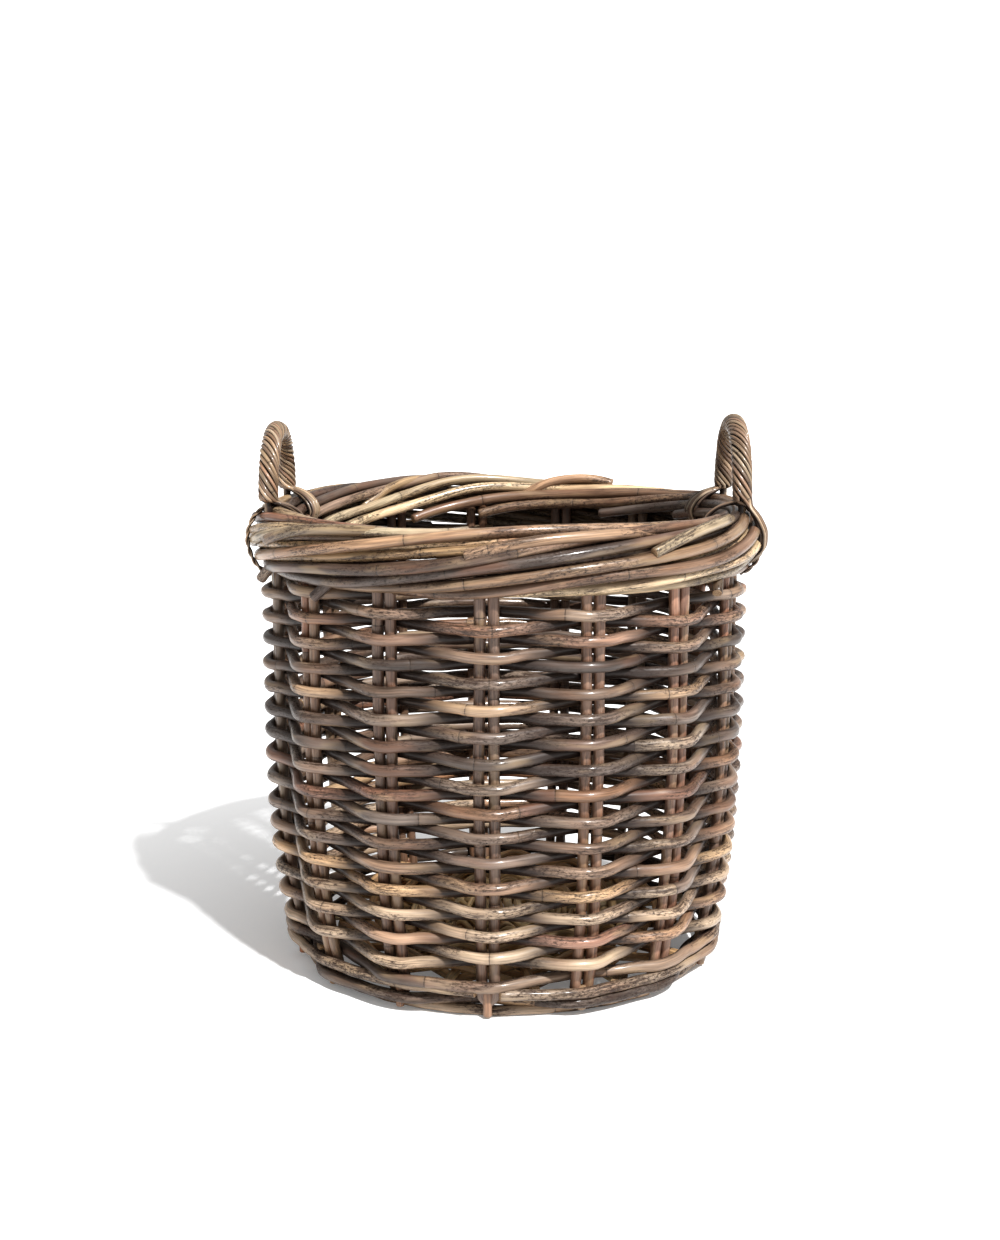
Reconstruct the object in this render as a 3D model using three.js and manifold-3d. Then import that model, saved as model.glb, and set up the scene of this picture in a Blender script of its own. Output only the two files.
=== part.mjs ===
// Round wicker log basket of thick rattan cane, with a woven base, a plain woven wall on double
// stakes, a rolled border and two roped bow handles. Millimetres, +Z up. The origin is on the
// floor under the middle of the basket, and the handles stand at -X and +X.
import * as THREE from 'three';
import { mergeVertices } from 'three/addons/utils/BufferGeometryUtils.js';
import Module from 'manifold-3d';

const wasm = await Module();
wasm.setup();

// Canes
const stakeDiameter = 10.4;
const weaverDiameter = 10.2;
const borderDiameter = 9.4;
const baseStickDiameter = 9.4;
const baseWeaverDiameter = 9.4;
const hoopDiameter = 9.6;
const handleCoreDiameter = 7.6;
const handleWrapDiameter = 4.6;
const weaveClearance = 0.7;
const seatClearance = 0.4;

// Wall: double stakes that stand on the foot hoop and swell out into a barrel
const stakeCount = 15;
const stakeTurn = 4.2;
const pairGap = 2.6;
const bodyRadius = 231;
const footInset = 28;
const barrelShare = 0.867;
const barrelPower = 3;

// Weave: long rods that go outside one pair of stakes and inside the next
const weaveHeight = 346;
const weaverCount = 10;
const rowGap = 1.6;
const rowSag = 1.5;
const passFlat = 3;
const buttGap = 4;

// Foot: two waling rods that clamp the ends of the base sticks, above the hoop, and a binder
// round the outside
const hoopProud = 1;
const hoopGap = 1;
const waleGrip = 1.4;
const waleStroke = 3;

// Base: four sticks across four, opened out to a fan and woven round
const sticksPerLayer = 4;
const stickGap = 0.8;
const crossHalfLength = 24;
const fanRadius = 56;
const firstStickBay = 2;
const stickEndInset = 3;
const crossBay = 4.2;
const baseWeaverCount = 2;
const baseWeaveInnerRadius = 80;
const baseRowGap = 2.6;
const baseRimGap = 5;
const baseWaveRoom = 3;
const basePassFlat = 2;

// Border: canes that lie round a hollow roll, one to each pair of stakes
const rollProud = 1.1;
const rollTallness = 1.21;
const borderCaneGap = 0.5;
const borderGap = 4;
const borderTurn = 9;
const borderStartAngle = -50;
const borderRollAngle = 245;
const borderReach = 8.5;
const borderStepsPerStake = 2;

// Handles
const handleHalfAngle = 17;
const handleSeatRoll = 70;
const handleRises = { left: 80, right: 87 };
const handleSpringHeight = 10;
const handleFootShare = 0.48;
const bowSteps = 12;
const wrapTurns = 3;
const wrapStepsPerTurn = 10;
const wrapsPerHandle = 2;
const tailSpread = 7;
const tailRollAngles = [-35, -10, 15, 40, 62];

const radians = (degrees) => THREE.MathUtils.degToRad(degrees);

const barrelHeight = barrelShare * weaveHeight;

// Radius of the stakes' centre line: the wall curves in towards the foot
function wallRadius(height) {
  const below = Math.max(0, 1 - height / barrelHeight);
  return bodyRadius - footInset * below ** barrelPower;
}

// Places that follow from the sizes above
const up = new THREE.Vector3(0, 0, 1);
const stakeStep = 360 / stakeCount;
const hoopRadius = wallRadius(0) + hoopProud;
const pairOffset = (stakeDiameter + pairGap) / 2;
const hairpinHeight = hoopDiameter + seatClearance + stakeDiameter / 2;
const weaveOffset = (stakeDiameter + weaverDiameter) / 2 + weaveClearance;
const lowerWaleHeight = hoopDiameter + hoopGap + weaverDiameter / 2;
const waleToBase = (weaverDiameter + baseStickDiameter + waleGrip) / 2;
const baseHeight = lowerWaleHeight + waleToBase;
const upperWaleHeight = baseHeight + waleToBase;

const rowPitch = weaverDiameter + rowGap;
const firstRowHeight = upperWaleHeight + rowSag + weaverDiameter + weaveClearance;
const wallPasses = (weaveHeight / rowPitch) * stakeCount;
const passesPerWeaver = Math.round(wallPasses / weaverCount / 2) * 2;
const weaveTop = firstRowHeight + (rowPitch * weaverCount * passesPerWeaver) / stakeCount;

const stickPitch = baseStickDiameter + stickGap;
const baseWeavePitch = baseWeaverDiameter + baseRowGap;
const baseWave = (baseStickDiameter + baseWeaverDiameter) / 2 + baseWaveRoom;
const waleInside = wallRadius(baseHeight) - weaveOffset - weaverDiameter / 2;
const baseWeaveWidth = waleInside - baseRimGap - baseWeaverDiameter / 2 - baseWeaveInnerRadius;
const basePasses = (baseWeaveWidth / baseWeavePitch) * stakeCount;
const passesPerBaseWeaver = Math.floor(basePasses / baseWeaverCount);

const borderSpan = stakeStep * borderReach;
const rollRate = borderRollAngle / borderSpan;
const canePitch = stakeStep * rollRate;
const rollRadius = bodyRadius + rollProud;
const rollHalfWidth = (borderDiameter + borderCaneGap) / radians(canePitch);
const rollHalfHeight = rollHalfWidth * rollTallness;
const rollHeight = weaveTop + weaverDiameter / 2 + borderGap + rollHalfHeight + borderDiameter / 2;
const crestHeight = rollHeight + rollHalfHeight + borderDiameter / 2;
const stakeTop = rollHeight + rollHalfHeight / 3;
const handleDepth = (1 + handleFootShare) * rollHalfHeight + borderDiameter / 2;
const stakeBends = [0.2, 0.37, 0.58, 0.8, 1].map((share) => share * barrelHeight);

// Finishes
const finish = (color, roughness) => () => new THREE.MeshStandardMaterial({ color, roughness, metalness: 0 });
const finishes = {
  stake: finish(0x8d7058, 0.62),
  weaverGrey: finish(0x857466, 0.66),
  weaverBrown: finish(0x8a6a52, 0.62),
  border: finish(0xa68a6a, 0.58),
  base: finish(0xb59a78, 0.7),
  foot: finish(0x6d5e52, 0.72),
  handle: finish(0x9b8064, 0.6),
};

// A point at a radius and height; the angle runs from -Y towards +X
function polar(angle, radius, height) {
  return new THREE.Vector3(Math.sin(radians(angle)) * radius, -Math.cos(radians(angle)) * radius, height);
}

// The angle that an arc length takes up at a radius
const arcAngle = (length, radius) => THREE.MathUtils.radToDeg(length / radius);

const stakeAngle = (index) => index * stakeStep - stakeTurn;

// A path through given points, with the mean direction of its two sides at each of them
class Route extends THREE.Curve {
  constructor(points) {
    super();
    this.points = points;
  }

  getPoint(t, target = new THREE.Vector3()) {
    const last = this.points.length - 1;
    const at = Math.min(last - 1, Math.floor(t * last));
    return target.lerpVectors(this.points[at], this.points[at + 1], t * last - at);
  }

  getUtoTmapping(u) {
    return u;
  }

  getTangentAt(u, target = new THREE.Vector3()) {
    const last = this.points.length - 1;
    const at = Math.round(u * last);
    target.set(0, 0, 0);
    for (const from of [at - 1, at]) {
      if (from < 0 || from >= last) continue;
      target.add(this.points[from + 1].clone().sub(this.points[from]).normalize());
    }
    return target.normalize();
  }
}

// A regular polygon whose corners lie on a circle
function section(diameter, sides) {
  const corners = [];
  for (let side = 0; side < sides; side += 1) {
    const angle = (side / sides) * Math.PI * 2;
    corners.push(new THREE.Vector2(Math.cos(angle), Math.sin(angle)).multiplyScalar(diameter / 2));
  }
  return new THREE.Shape(corners);
}

// A cane of one thickness along a path
function cane(points, diameter, sides) {
  return new THREE.ExtrudeGeometry(section(diameter, sides), {
    steps: points.length - 1,
    extrudePath: new Route(points),
    bevelEnabled: false,
  });
}

const basket = new THREE.Group();

function add(name, geometry, material) {
  const mesh = new THREE.Mesh(geometry, material());
  mesh.name = name;
  basket.add(mesh);
  return mesh;
}

const numbered = (name, index) => `${name}_${String(index + 1).padStart(2, '0')}`;

function toSolid(geometry) {
  const bare = geometry.clone();
  bare.deleteAttribute('normal');
  bare.deleteAttribute('uv');
  const merged = mergeVertices(bare, 1e-3);
  const vertProperties = new Float32Array(merged.attributes.position.array);
  const triVerts = new Uint32Array(merged.index.array);
  return new wasm.Manifold(new wasm.Mesh({ numProp: 3, vertProperties, triVerts }));
}

function toGeometry(solid) {
  const mesh = solid.getMesh();
  const geometry = new THREE.BufferGeometry();
  geometry.setAttribute('position', new THREE.BufferAttribute(new Float32Array(mesh.vertProperties), 3));
  geometry.setIndex(new THREE.BufferAttribute(new Uint32Array(mesh.triVerts), 1));
  geometry.computeVertexNormals();
  return geometry;
}

// Foot hoop: one cane bent to a ring, worn flat underneath
function addHoop() {
  const sides = 6;
  const profile = [];
  for (let side = 0; side <= sides; side += 1) {
    const angle = Math.PI / 2 - ((side + 0.5) / sides) * Math.PI * 2;
    const reach = hoopDiameter / 2 / Math.cos(Math.PI / sides);
    profile.push(new THREE.Vector2(hoopRadius + reach * Math.cos(angle), reach * Math.sin(angle)));
  }
  const ring = new THREE.LatheGeometry(profile.reverse(), stakeCount * 3);
  ring.rotateX(Math.PI / 2);
  ring.translate(0, 0, hoopDiameter / 2);
  add('foot_hoop', ring, finishes.foot);
}

// One double stake: a cane bent double at the foot, with its two legs side by side
function stakePoints() {
  const bend = hairpinHeight + pairOffset;
  const heights = [bend, ...stakeBends, stakeTop];
  const leg = heights.map((height) => new THREE.Vector3(wallRadius(height), pairOffset, height));
  const turn = [-1, 0, 1].map((step) => {
    const angle = (step * Math.PI) / 4;
    const height = bend - pairOffset * Math.cos(angle);
    return new THREE.Vector3(wallRadius(bend), -pairOffset * Math.sin(angle), height);
  });
  const otherLeg = leg.map((point) => new THREE.Vector3(point.x, -point.y, point.z));
  return [...leg.reverse(), ...turn, ...otherLeg];
}

function addStakes() {
  const points = stakePoints();
  for (let index = 0; index < stakeCount; index += 1) {
    const stake = add(numbered('stake', index), cane(points, stakeDiameter, 5), finishes.stake);
    stake.rotation.z = radians(stakeAngle(index) - 90);
  }
}

// Points of a rod at one stake: two outside it, or one inside it
function passPoints(angle, height, outside) {
  const radius = wallRadius(height);
  if (!outside) return [polar(angle, radius - weaveOffset, height + rowSag)];
  const half = arcAngle(pairOffset + passFlat, radius);
  const reach = radius + weaveOffset;
  return [-half, half].map((turn) => polar(angle + turn, reach, height - rowSag));
}

// Each rod starts and ends inside a stake, in line with its neighbours' ends
function addWeavers() {
  for (let index = 0; index < weaverCount; index += 1) {
    const points = [];
    const first = index * passesPerWeaver + 1;
    for (let pass = first; pass <= first + passesPerWeaver; pass += 1) {
      const height = firstRowHeight + (rowPitch * (pass - 1)) / stakeCount;
      const turn = (pass === first ? 1 : 0) - (pass === first + passesPerWeaver ? 1 : 0);
      const angle = stakeAngle(pass + (stakeCount + 1) / 2) + turn * arcAngle(buttGap / 2, bodyRadius);
      points.push(...passPoints(angle, height, pass % 2 === 0));
    }
    const material = index % 2 ? finishes.weaverGrey : finishes.weaverBrown;
    add(numbered('weaver', index), cane(points, weaverDiameter, 4), material);
  }
}

// A waling rod goes outside two stakes and inside the third
function addWale(name, height, shift) {
  const points = [];
  for (let pass = 0; pass <= stakeCount; pass += 1) {
    const turn = (pass === 0 ? 1 : 0) - (pass === stakeCount ? 1 : 0);
    const angle = stakeAngle(pass + shift) + turn * arcAngle(buttGap / 2, bodyRadius - footInset);
    points.push(...passPoints(angle, height, pass % waleStroke !== 0));
  }
  const level = points.map((point) => new THREE.Vector3(point.x, point.y, height));
  add(name, cane(level, weaverDiameter, 5), finishes.foot);
}

// An outer rod lies round all the stakes and covers the ends of the base sticks; its own ends
// meet in front of the first stake
function addBinder() {
  const points = [];
  for (let pass = 0; pass <= stakeCount; pass += 1) {
    points.push(...passPoints(stakeAngle(pass), baseHeight + rowSag, true));
  }
  const radius = wallRadius(baseHeight);
  const back = radians(arcAngle(pairOffset + passFlat + buttGap / 2, radius));
  points[0].applyAxisAngle(up, back);
  points[points.length - 1].applyAxisAngle(up, -back);
  add('foot_binder', cane(points, weaverDiameter, 5), finishes.foot);
}

// The angles at which the ends of the base sticks pass between the stakes: one end to a bay,
// and the last bay takes two
function stickEndAngle(end) {
  const bay = Math.min(end, stakeCount - 1);
  const middle = stakeAngle(bay + firstStickBay + 0.5);
  const share = arcAngle(stickPitch / 2, wallRadius(baseHeight));
  if (end < stakeCount - 1) return middle;
  return middle + (end === bay ? -share : share);
}

// The half of a base stick from the cross to one of its ends; ends are counted round the base
function halfStick(end) {
  const quarter = Math.floor(end / sticksPerLayer);
  const place = (end % sticksPerLayer) - (sticksPerLayer - 1) / 2;
  const layer = quarter % 2 ? 1 : -1;
  const outward = stakeAngle(crossBay) + quarter * 90;
  const along = polar(outward, 1, 0);
  const across = polar(outward + 90, 1, 0);
  const start = along.clone().multiplyScalar(crossHalfLength).addScaledVector(across, place * stickPitch);
  const tip = polar(stickEndAngle(end), wallRadius(baseHeight) - stickEndInset, 0);
  const run = tip.clone().sub(start).normalize();
  const bend = start.clone().addScaledVector(run, fanRadius - crossHalfLength);
  start.z = baseHeight + (layer * (baseStickDiameter + seatClearance)) / 2;
  bend.z = baseHeight;
  tip.z = baseHeight;
  return [start, bend, tip];
}

function addBaseSticks() {
  for (let layer = 0; layer < 2; layer += 1) {
    for (let place = 0; place < sticksPerLayer; place += 1) {
      const near = halfStick(layer * sticksPerLayer + place);
      const far = halfStick((layer + 2) * sticksPerLayer + sticksPerLayer - 1 - place);
      const points = [...near.reverse(), ...far];
      const name = numbered(layer ? 'base_stick_upper' : 'base_stick_lower', place);
      add(name, cane(points, baseStickDiameter, 5), finishes.base);
    }
  }
}

// Where the centre of a fanned stick stands at a radius
function stickAngleAt(end, radius) {
  const [, bend, tip] = halfStick(end);
  const inner = Math.hypot(bend.x, bend.y);
  const outer = Math.hypot(tip.x, tip.y);
  const share = (radius - inner) / (outer - inner);
  const point = bend.clone().lerp(tip, share);
  return THREE.MathUtils.radToDeg(Math.atan2(point.x, -point.y));
}

// The base is woven round its fan of sticks, over one and under the next, with the doubled
// end counted as one stick
function addBaseWeavers() {
  const doubled = stakeCount - 1;
  for (let index = 0; index < baseWeaverCount; index += 1) {
    const points = [];
    const first = index * passesPerBaseWeaver;
    for (let pass = first; pass <= first + passesPerBaseWeaver; pass += 1) {
      const radius = baseWeaveInnerRadius + (baseWeavePitch * pass) / stakeCount;
      const end = pass % stakeCount;
      const butt = (pass === first ? 1 : 0) - (pass === first + passesPerBaseWeaver ? 1 : 0);
      const turn = butt * arcAngle(buttGap / 2, radius);
      const side = pass % 2 ? 1 : -1;
      const height = baseHeight + side * baseWave;
      if (end === doubled) {
        const half = arcAngle(stickPitch / 2 + basePassFlat, radius);
        const middle = (stickAngleAt(end, radius) + stickAngleAt(end + 1, radius)) / 2;
        points.push(polar(middle - half, radius, height), polar(middle + half, radius, height));
      } else {
        points.push(polar(stickAngleAt(end, radius) + turn, radius, height));
      }
    }
    add(numbered('base_weaver', index), cane(points, baseWeaverDiameter, 4), finishes.base);
  }
}

// A point of the border's roll: the roll angle is 0 outside, 90 on top and 180 inside
function rollPoint(angle, rollAngle, lift = 0) {
  const radius = rollRadius + (rollHalfWidth + lift) * Math.cos(radians(rollAngle));
  const height = rollHeight + (rollHalfHeight + lift) * Math.sin(radians(rollAngle));
  return polar(angle, radius, height);
}

const borderAngle = (index) => stakeAngle(index) + borderTurn;

// The angle at which a handle's leg stands, moved aside where a stake would be in its way
function legAngle(side, end) {
  const wanted = side * 90 + end * handleHalfAngle;
  const nearest = stakeAngle(Math.round((wanted + stakeTurn) / stakeStep));
  const room = pairOffset + (stakeDiameter + handleCoreDiameter) / 2 + seatClearance * 2;
  const keep = arcAngle(room, bodyRadius);
  const away = wanted < nearest ? -1 : 1;
  return away * (wanted - nearest) < keep ? nearest + away * keep : wanted;
}

// The legs stand on the border, each in the gap between two of its canes that is nearest to
// the seat's place on the roll
function legSeat(side, end) {
  const angle = legAngle(side, end);
  const rolled = borderStartAngle + rollRate * (angle - borderAngle(0)) + canePitch / 2;
  const past = (((rolled - handleSeatRoll) % canePitch) + canePitch * 1.5) % canePitch;
  const rollAngle = handleSeatRoll + past - canePitch / 2;
  const radius = rollRadius + rollHalfWidth * Math.cos(radians(rollAngle));
  return polar(angle, radius, crestHeight);
}

const handles = [
  { name: 'left', side: -1 },
  { name: 'right', side: 1 },
].map(({ name, side }) => {
  const seats = [legSeat(side, -1), legSeat(side, 1)];
  return { name, side, seats, rise: handleRises[name] };
});

// Border canes, each with a groove where a handle's leg is pushed down beside it
function addBorder() {
  const legs = handles.flatMap(({ seats }) => seats).map((seat) => {
    const bore = new THREE.CylinderGeometry(1, 1, (handleDepth + seatClearance) * 2, 12);
    bore.scale(handleCoreDiameter / 2 + seatClearance, 1, handleCoreDiameter / 2 + seatClearance);
    bore.rotateX(Math.PI / 2);
    bore.translate(seat.x, seat.y, seat.z);
    return toSolid(bore);
  });
  for (let index = 0; index < stakeCount; index += 1) {
    const points = [];
    const steps = borderReach * borderStepsPerStake;
    for (let step = 0; step <= steps; step += 1) {
      const rollAngle = borderStartAngle + (borderRollAngle * step) / steps;
      points.push(rollPoint(borderAngle(index) + (borderSpan * step) / steps, rollAngle));
    }
    const whole = toSolid(cane(points, borderDiameter, 5));
    const grooved = legs.reduce((solid, leg) => solid.subtract(leg), whole);
    add(numbered('border_cane', index), toGeometry(grooved), finishes.border);
  }
}

// The core of a handle: two straight legs in the border and a bow between them. Gives the
// centre, the direction along the bow and the direction away from its plane.
function bowFrame({ seats, rise: height }, share) {
  const [near, far] = seats;
  const middle = near.clone().add(far).multiplyScalar(0.5);
  const halfSpan = far.clone().sub(near).multiplyScalar(0.5);
  const angle = Math.PI * (1 - share);
  const spring = crestHeight + handleSpringHeight;
  const rise = height - handleSpringHeight - handleWrapDiameter - handleCoreDiameter / 2;
  const centre = middle.clone().addScaledVector(halfSpan, Math.cos(angle));
  centre.z = spring + rise * Math.sin(angle);
  const along = halfSpan.clone().multiplyScalar(Math.sin(angle)).addScaledVector(up, -rise * Math.cos(angle));
  const aside = halfSpan.clone().cross(up).normalize();
  return { centre, along: along.normalize(), aside };
}

function addHandleCore(handle) {
  const { name, seats } = handle;
  const bow = [];
  for (let step = 0; step <= bowSteps; step += 1) {
    bow.push(bowFrame(handle, step / bowSteps).centre);
  }
  const feet = seats.map((seat) => seat.clone().addScaledVector(up, -handleDepth));
  add(`handle_${name}_core`, cane([feet[0], ...bow, feet[1]], handleCoreDiameter, 6), finishes.handle);
}

// A wrapping strand: up the outside of the border, round and round the bow, and down again
function addHandleWrap(handle, index) {
  const { name, side } = handle;
  const orbit = (handleCoreDiameter + handleWrapDiameter) / 2 + seatClearance * 2;
  const phase = (index / wrapsPerHandle - 0.25) * Math.PI * 2;
  const steps = wrapTurns * wrapStepsPerTurn;
  const helix = [];
  for (let step = 0; step <= steps; step += 1) {
    const { centre, along, aside } = bowFrame(handle, step / steps);
    const turn = phase + (step / wrapStepsPerTurn) * Math.PI * 2;
    const across = along.clone().cross(aside);
    centre.addScaledVector(aside, orbit * Math.cos(turn));
    helix.push(centre.addScaledVector(across, orbit * Math.sin(turn)));
  }
  const lift = (borderDiameter + handleWrapDiameter) / 2 + seatClearance * 2;
  const tails = [-1, 1].map((end) => {
    const spread = arcAngle(((wrapsPerHandle - 1) / 2 - index) * tailSpread * 2, rollRadius);
    const angle = legAngle(side, end) + end * spread;
    return tailRollAngles.map((rollAngle) => rollPoint(angle, rollAngle, lift));
  });
  const points = [...tails[0], ...helix, ...tails[1].reverse()];
  add(`handle_${name}_wrap_${index + 1}`, cane(points, handleWrapDiameter, 4), finishes.handle);
}

addHoop();
addStakes();
addBaseSticks();
addBaseWeavers();
addWale('foot_wale_lower', lowerWaleHeight, 0);
addWale('foot_wale_upper', upperWaleHeight, 1);
addBinder();
addWeavers();
addBorder();
for (const handle of handles) {
  addHandleCore(handle);
  for (let index = 0; index < wrapsPerHandle; index += 1) addHandleWrap(handle, index);
}

export default basket;
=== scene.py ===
"""Looks of a round wicker log basket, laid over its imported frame.

Lengths are in millimetres inside the classes and in metres in the meshes. The angle round the
basket runs from -Y towards +X, in degrees.
"""
import logging
from dataclasses import dataclass, field
from enum import Enum

import bpy
import numpy as np
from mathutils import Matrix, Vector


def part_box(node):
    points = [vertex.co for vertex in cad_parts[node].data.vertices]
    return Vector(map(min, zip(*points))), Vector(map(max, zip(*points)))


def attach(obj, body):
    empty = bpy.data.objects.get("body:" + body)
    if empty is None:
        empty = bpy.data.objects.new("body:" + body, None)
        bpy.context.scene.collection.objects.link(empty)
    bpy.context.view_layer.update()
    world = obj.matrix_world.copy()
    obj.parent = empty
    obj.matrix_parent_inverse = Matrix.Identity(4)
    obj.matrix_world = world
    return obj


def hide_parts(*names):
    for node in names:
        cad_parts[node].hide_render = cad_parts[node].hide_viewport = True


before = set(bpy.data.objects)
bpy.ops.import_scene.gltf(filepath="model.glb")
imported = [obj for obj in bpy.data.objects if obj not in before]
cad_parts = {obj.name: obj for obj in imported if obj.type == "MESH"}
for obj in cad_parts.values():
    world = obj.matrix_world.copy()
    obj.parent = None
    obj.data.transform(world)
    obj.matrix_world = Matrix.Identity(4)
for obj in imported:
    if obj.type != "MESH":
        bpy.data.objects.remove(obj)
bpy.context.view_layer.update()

log = logging.getLogger("log_basket")

MM = 0.001
Array = np.ndarray


class Slot(Enum):
    """The record's material slots."""

    STAKE = "stake_cane"
    GREY = "grey_weaver"
    BROWN = "brown_weaver"
    BORDER = "border_cane"
    BASE = "base_cane"
    FOOT = "foot_cane"
    HANDLE = "handle_cane"


class Side(Enum):
    """Which way from the crest a strand goes down the border."""

    INSIDE = 1
    OUTSIDE = -1


# ---------------------------------------------------------------------------- places


def polar(angle: Array | float, radius: Array | float, height: Array | float) -> Array:
    """Points at angles round the basket: (R sin a, -R cos a, z).

    Args:
        angle: degrees from -Y towards +X.
        radius: distance from the middle.
        height: height above the floor.

    Returns:
        Array of points, one row each.
    """
    angle, radius, height = np.broadcast_arrays(np.radians(angle), radius, height)
    return np.stack([radius * np.sin(angle), -radius * np.cos(angle), height], axis=-1).astype(float)


def arc(length: float, radius: float) -> float:
    """The angle in degrees that an arc length takes up at a radius."""
    return float(np.degrees(length / radius))


def span(*nodes: str) -> tuple[Array, Array]:
    """Lowest and highest corner of CAD nodes together, in millimetres.

    Args:
        nodes: names of CAD nodes.

    Returns:
        The two corners.
    """
    corners = [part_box(node) for node in nodes]
    low = np.min([np.array(low) for low, _ in corners], axis=0)
    high = np.max([np.array(high) for _, high in corners], axis=0)
    return low / MM, high / MM


def numbered(name: str, count: int) -> list[str]:
    """CAD node names NAME_01, NAME_02 and so on."""
    return [f"{name}_{index + 1:02d}" for index in range(count)]


def drift(at: Array, wavelengths: tuple[float, ...], rng: np.random.Generator) -> Array:
    """Slow wander: the mean of sines of several wavelengths, each with its own phase and strength.

    Args:
        at: where along the wander to read it.
        wavelengths: in the same unit as at.
        rng: source of the phases and strengths.

    Returns:
        Values within about one either way.
    """
    phase = rng.uniform(0, 2 * np.pi, len(wavelengths))
    strength = rng.uniform(0.6, 1.0, len(wavelengths))
    turns = 2 * np.pi * at[..., None] / np.array(wavelengths) + phase
    return (strength * np.sin(turns)).mean(axis=-1)


def ease(points: Array, softness: float, step: float = 1.5) -> Array:
    """Rounds the corners of a polyline: dense points along it, averaged with a bell-shaped weight.

    Args:
        points: rows of coordinates, with any further columns carried along.
        softness: spread of the weight, in millimetres of path.
        step: spacing of the dense points.

    Returns:
        The rounded path, with both ends where they were.
    """
    along = run_along(points[:, :3])
    at = np.linspace(0, along[-1], max(int(along[-1] / step), 12) + 1)
    dense = np.column_stack([np.interp(at, along, column) for column in points.T])
    reach = min(int(np.ceil(3 * softness / at[1])), len(dense) - 1)
    weight = np.exp(-0.5 * (np.arange(-reach, reach + 1) * at[1] / softness) ** 2)
    before = 2 * dense[0] - dense[reach:0:-1]
    after = 2 * dense[-1] - dense[-2 : -reach - 2 : -1]
    padded = np.vstack([before, dense, after])
    return np.column_stack([np.convolve(column, weight / weight.sum(), "valid") for column in padded.T])


def run_along(path: Array) -> Array:
    """Distance along a polyline at each of its points: the sum of the steps before it."""
    return np.r_[0, np.cumsum(np.linalg.norm(np.diff(path, axis=0), axis=1))]


def unit(vectors: Array) -> Array:
    """Vectors brought to length one."""
    return vectors / np.maximum(np.linalg.norm(vectors, axis=-1, keepdims=True), 1e-9)


def linear(color: tuple[int, int, int]) -> Array:
    """An 8-bit sRGB colour as linear light."""
    share = np.array(color) / 255
    return np.where(share <= 0.04045, share / 12.92, ((share + 0.055) / 1.055) ** 2.4)


# ---------------------------------------------------------------------------- finishes


def add_node(tree: bpy.types.NodeTree, kind: str, **values: object) -> bpy.types.Node:
    """Adds a shader node and sets its properties.

    Args:
        tree: the node tree.
        kind: the node's type name.
        values: its properties.

    Returns:
        The node.
    """
    node = tree.nodes.new(kind)
    for name, value in values.items():
        setattr(node, name, value)
    return node


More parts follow.
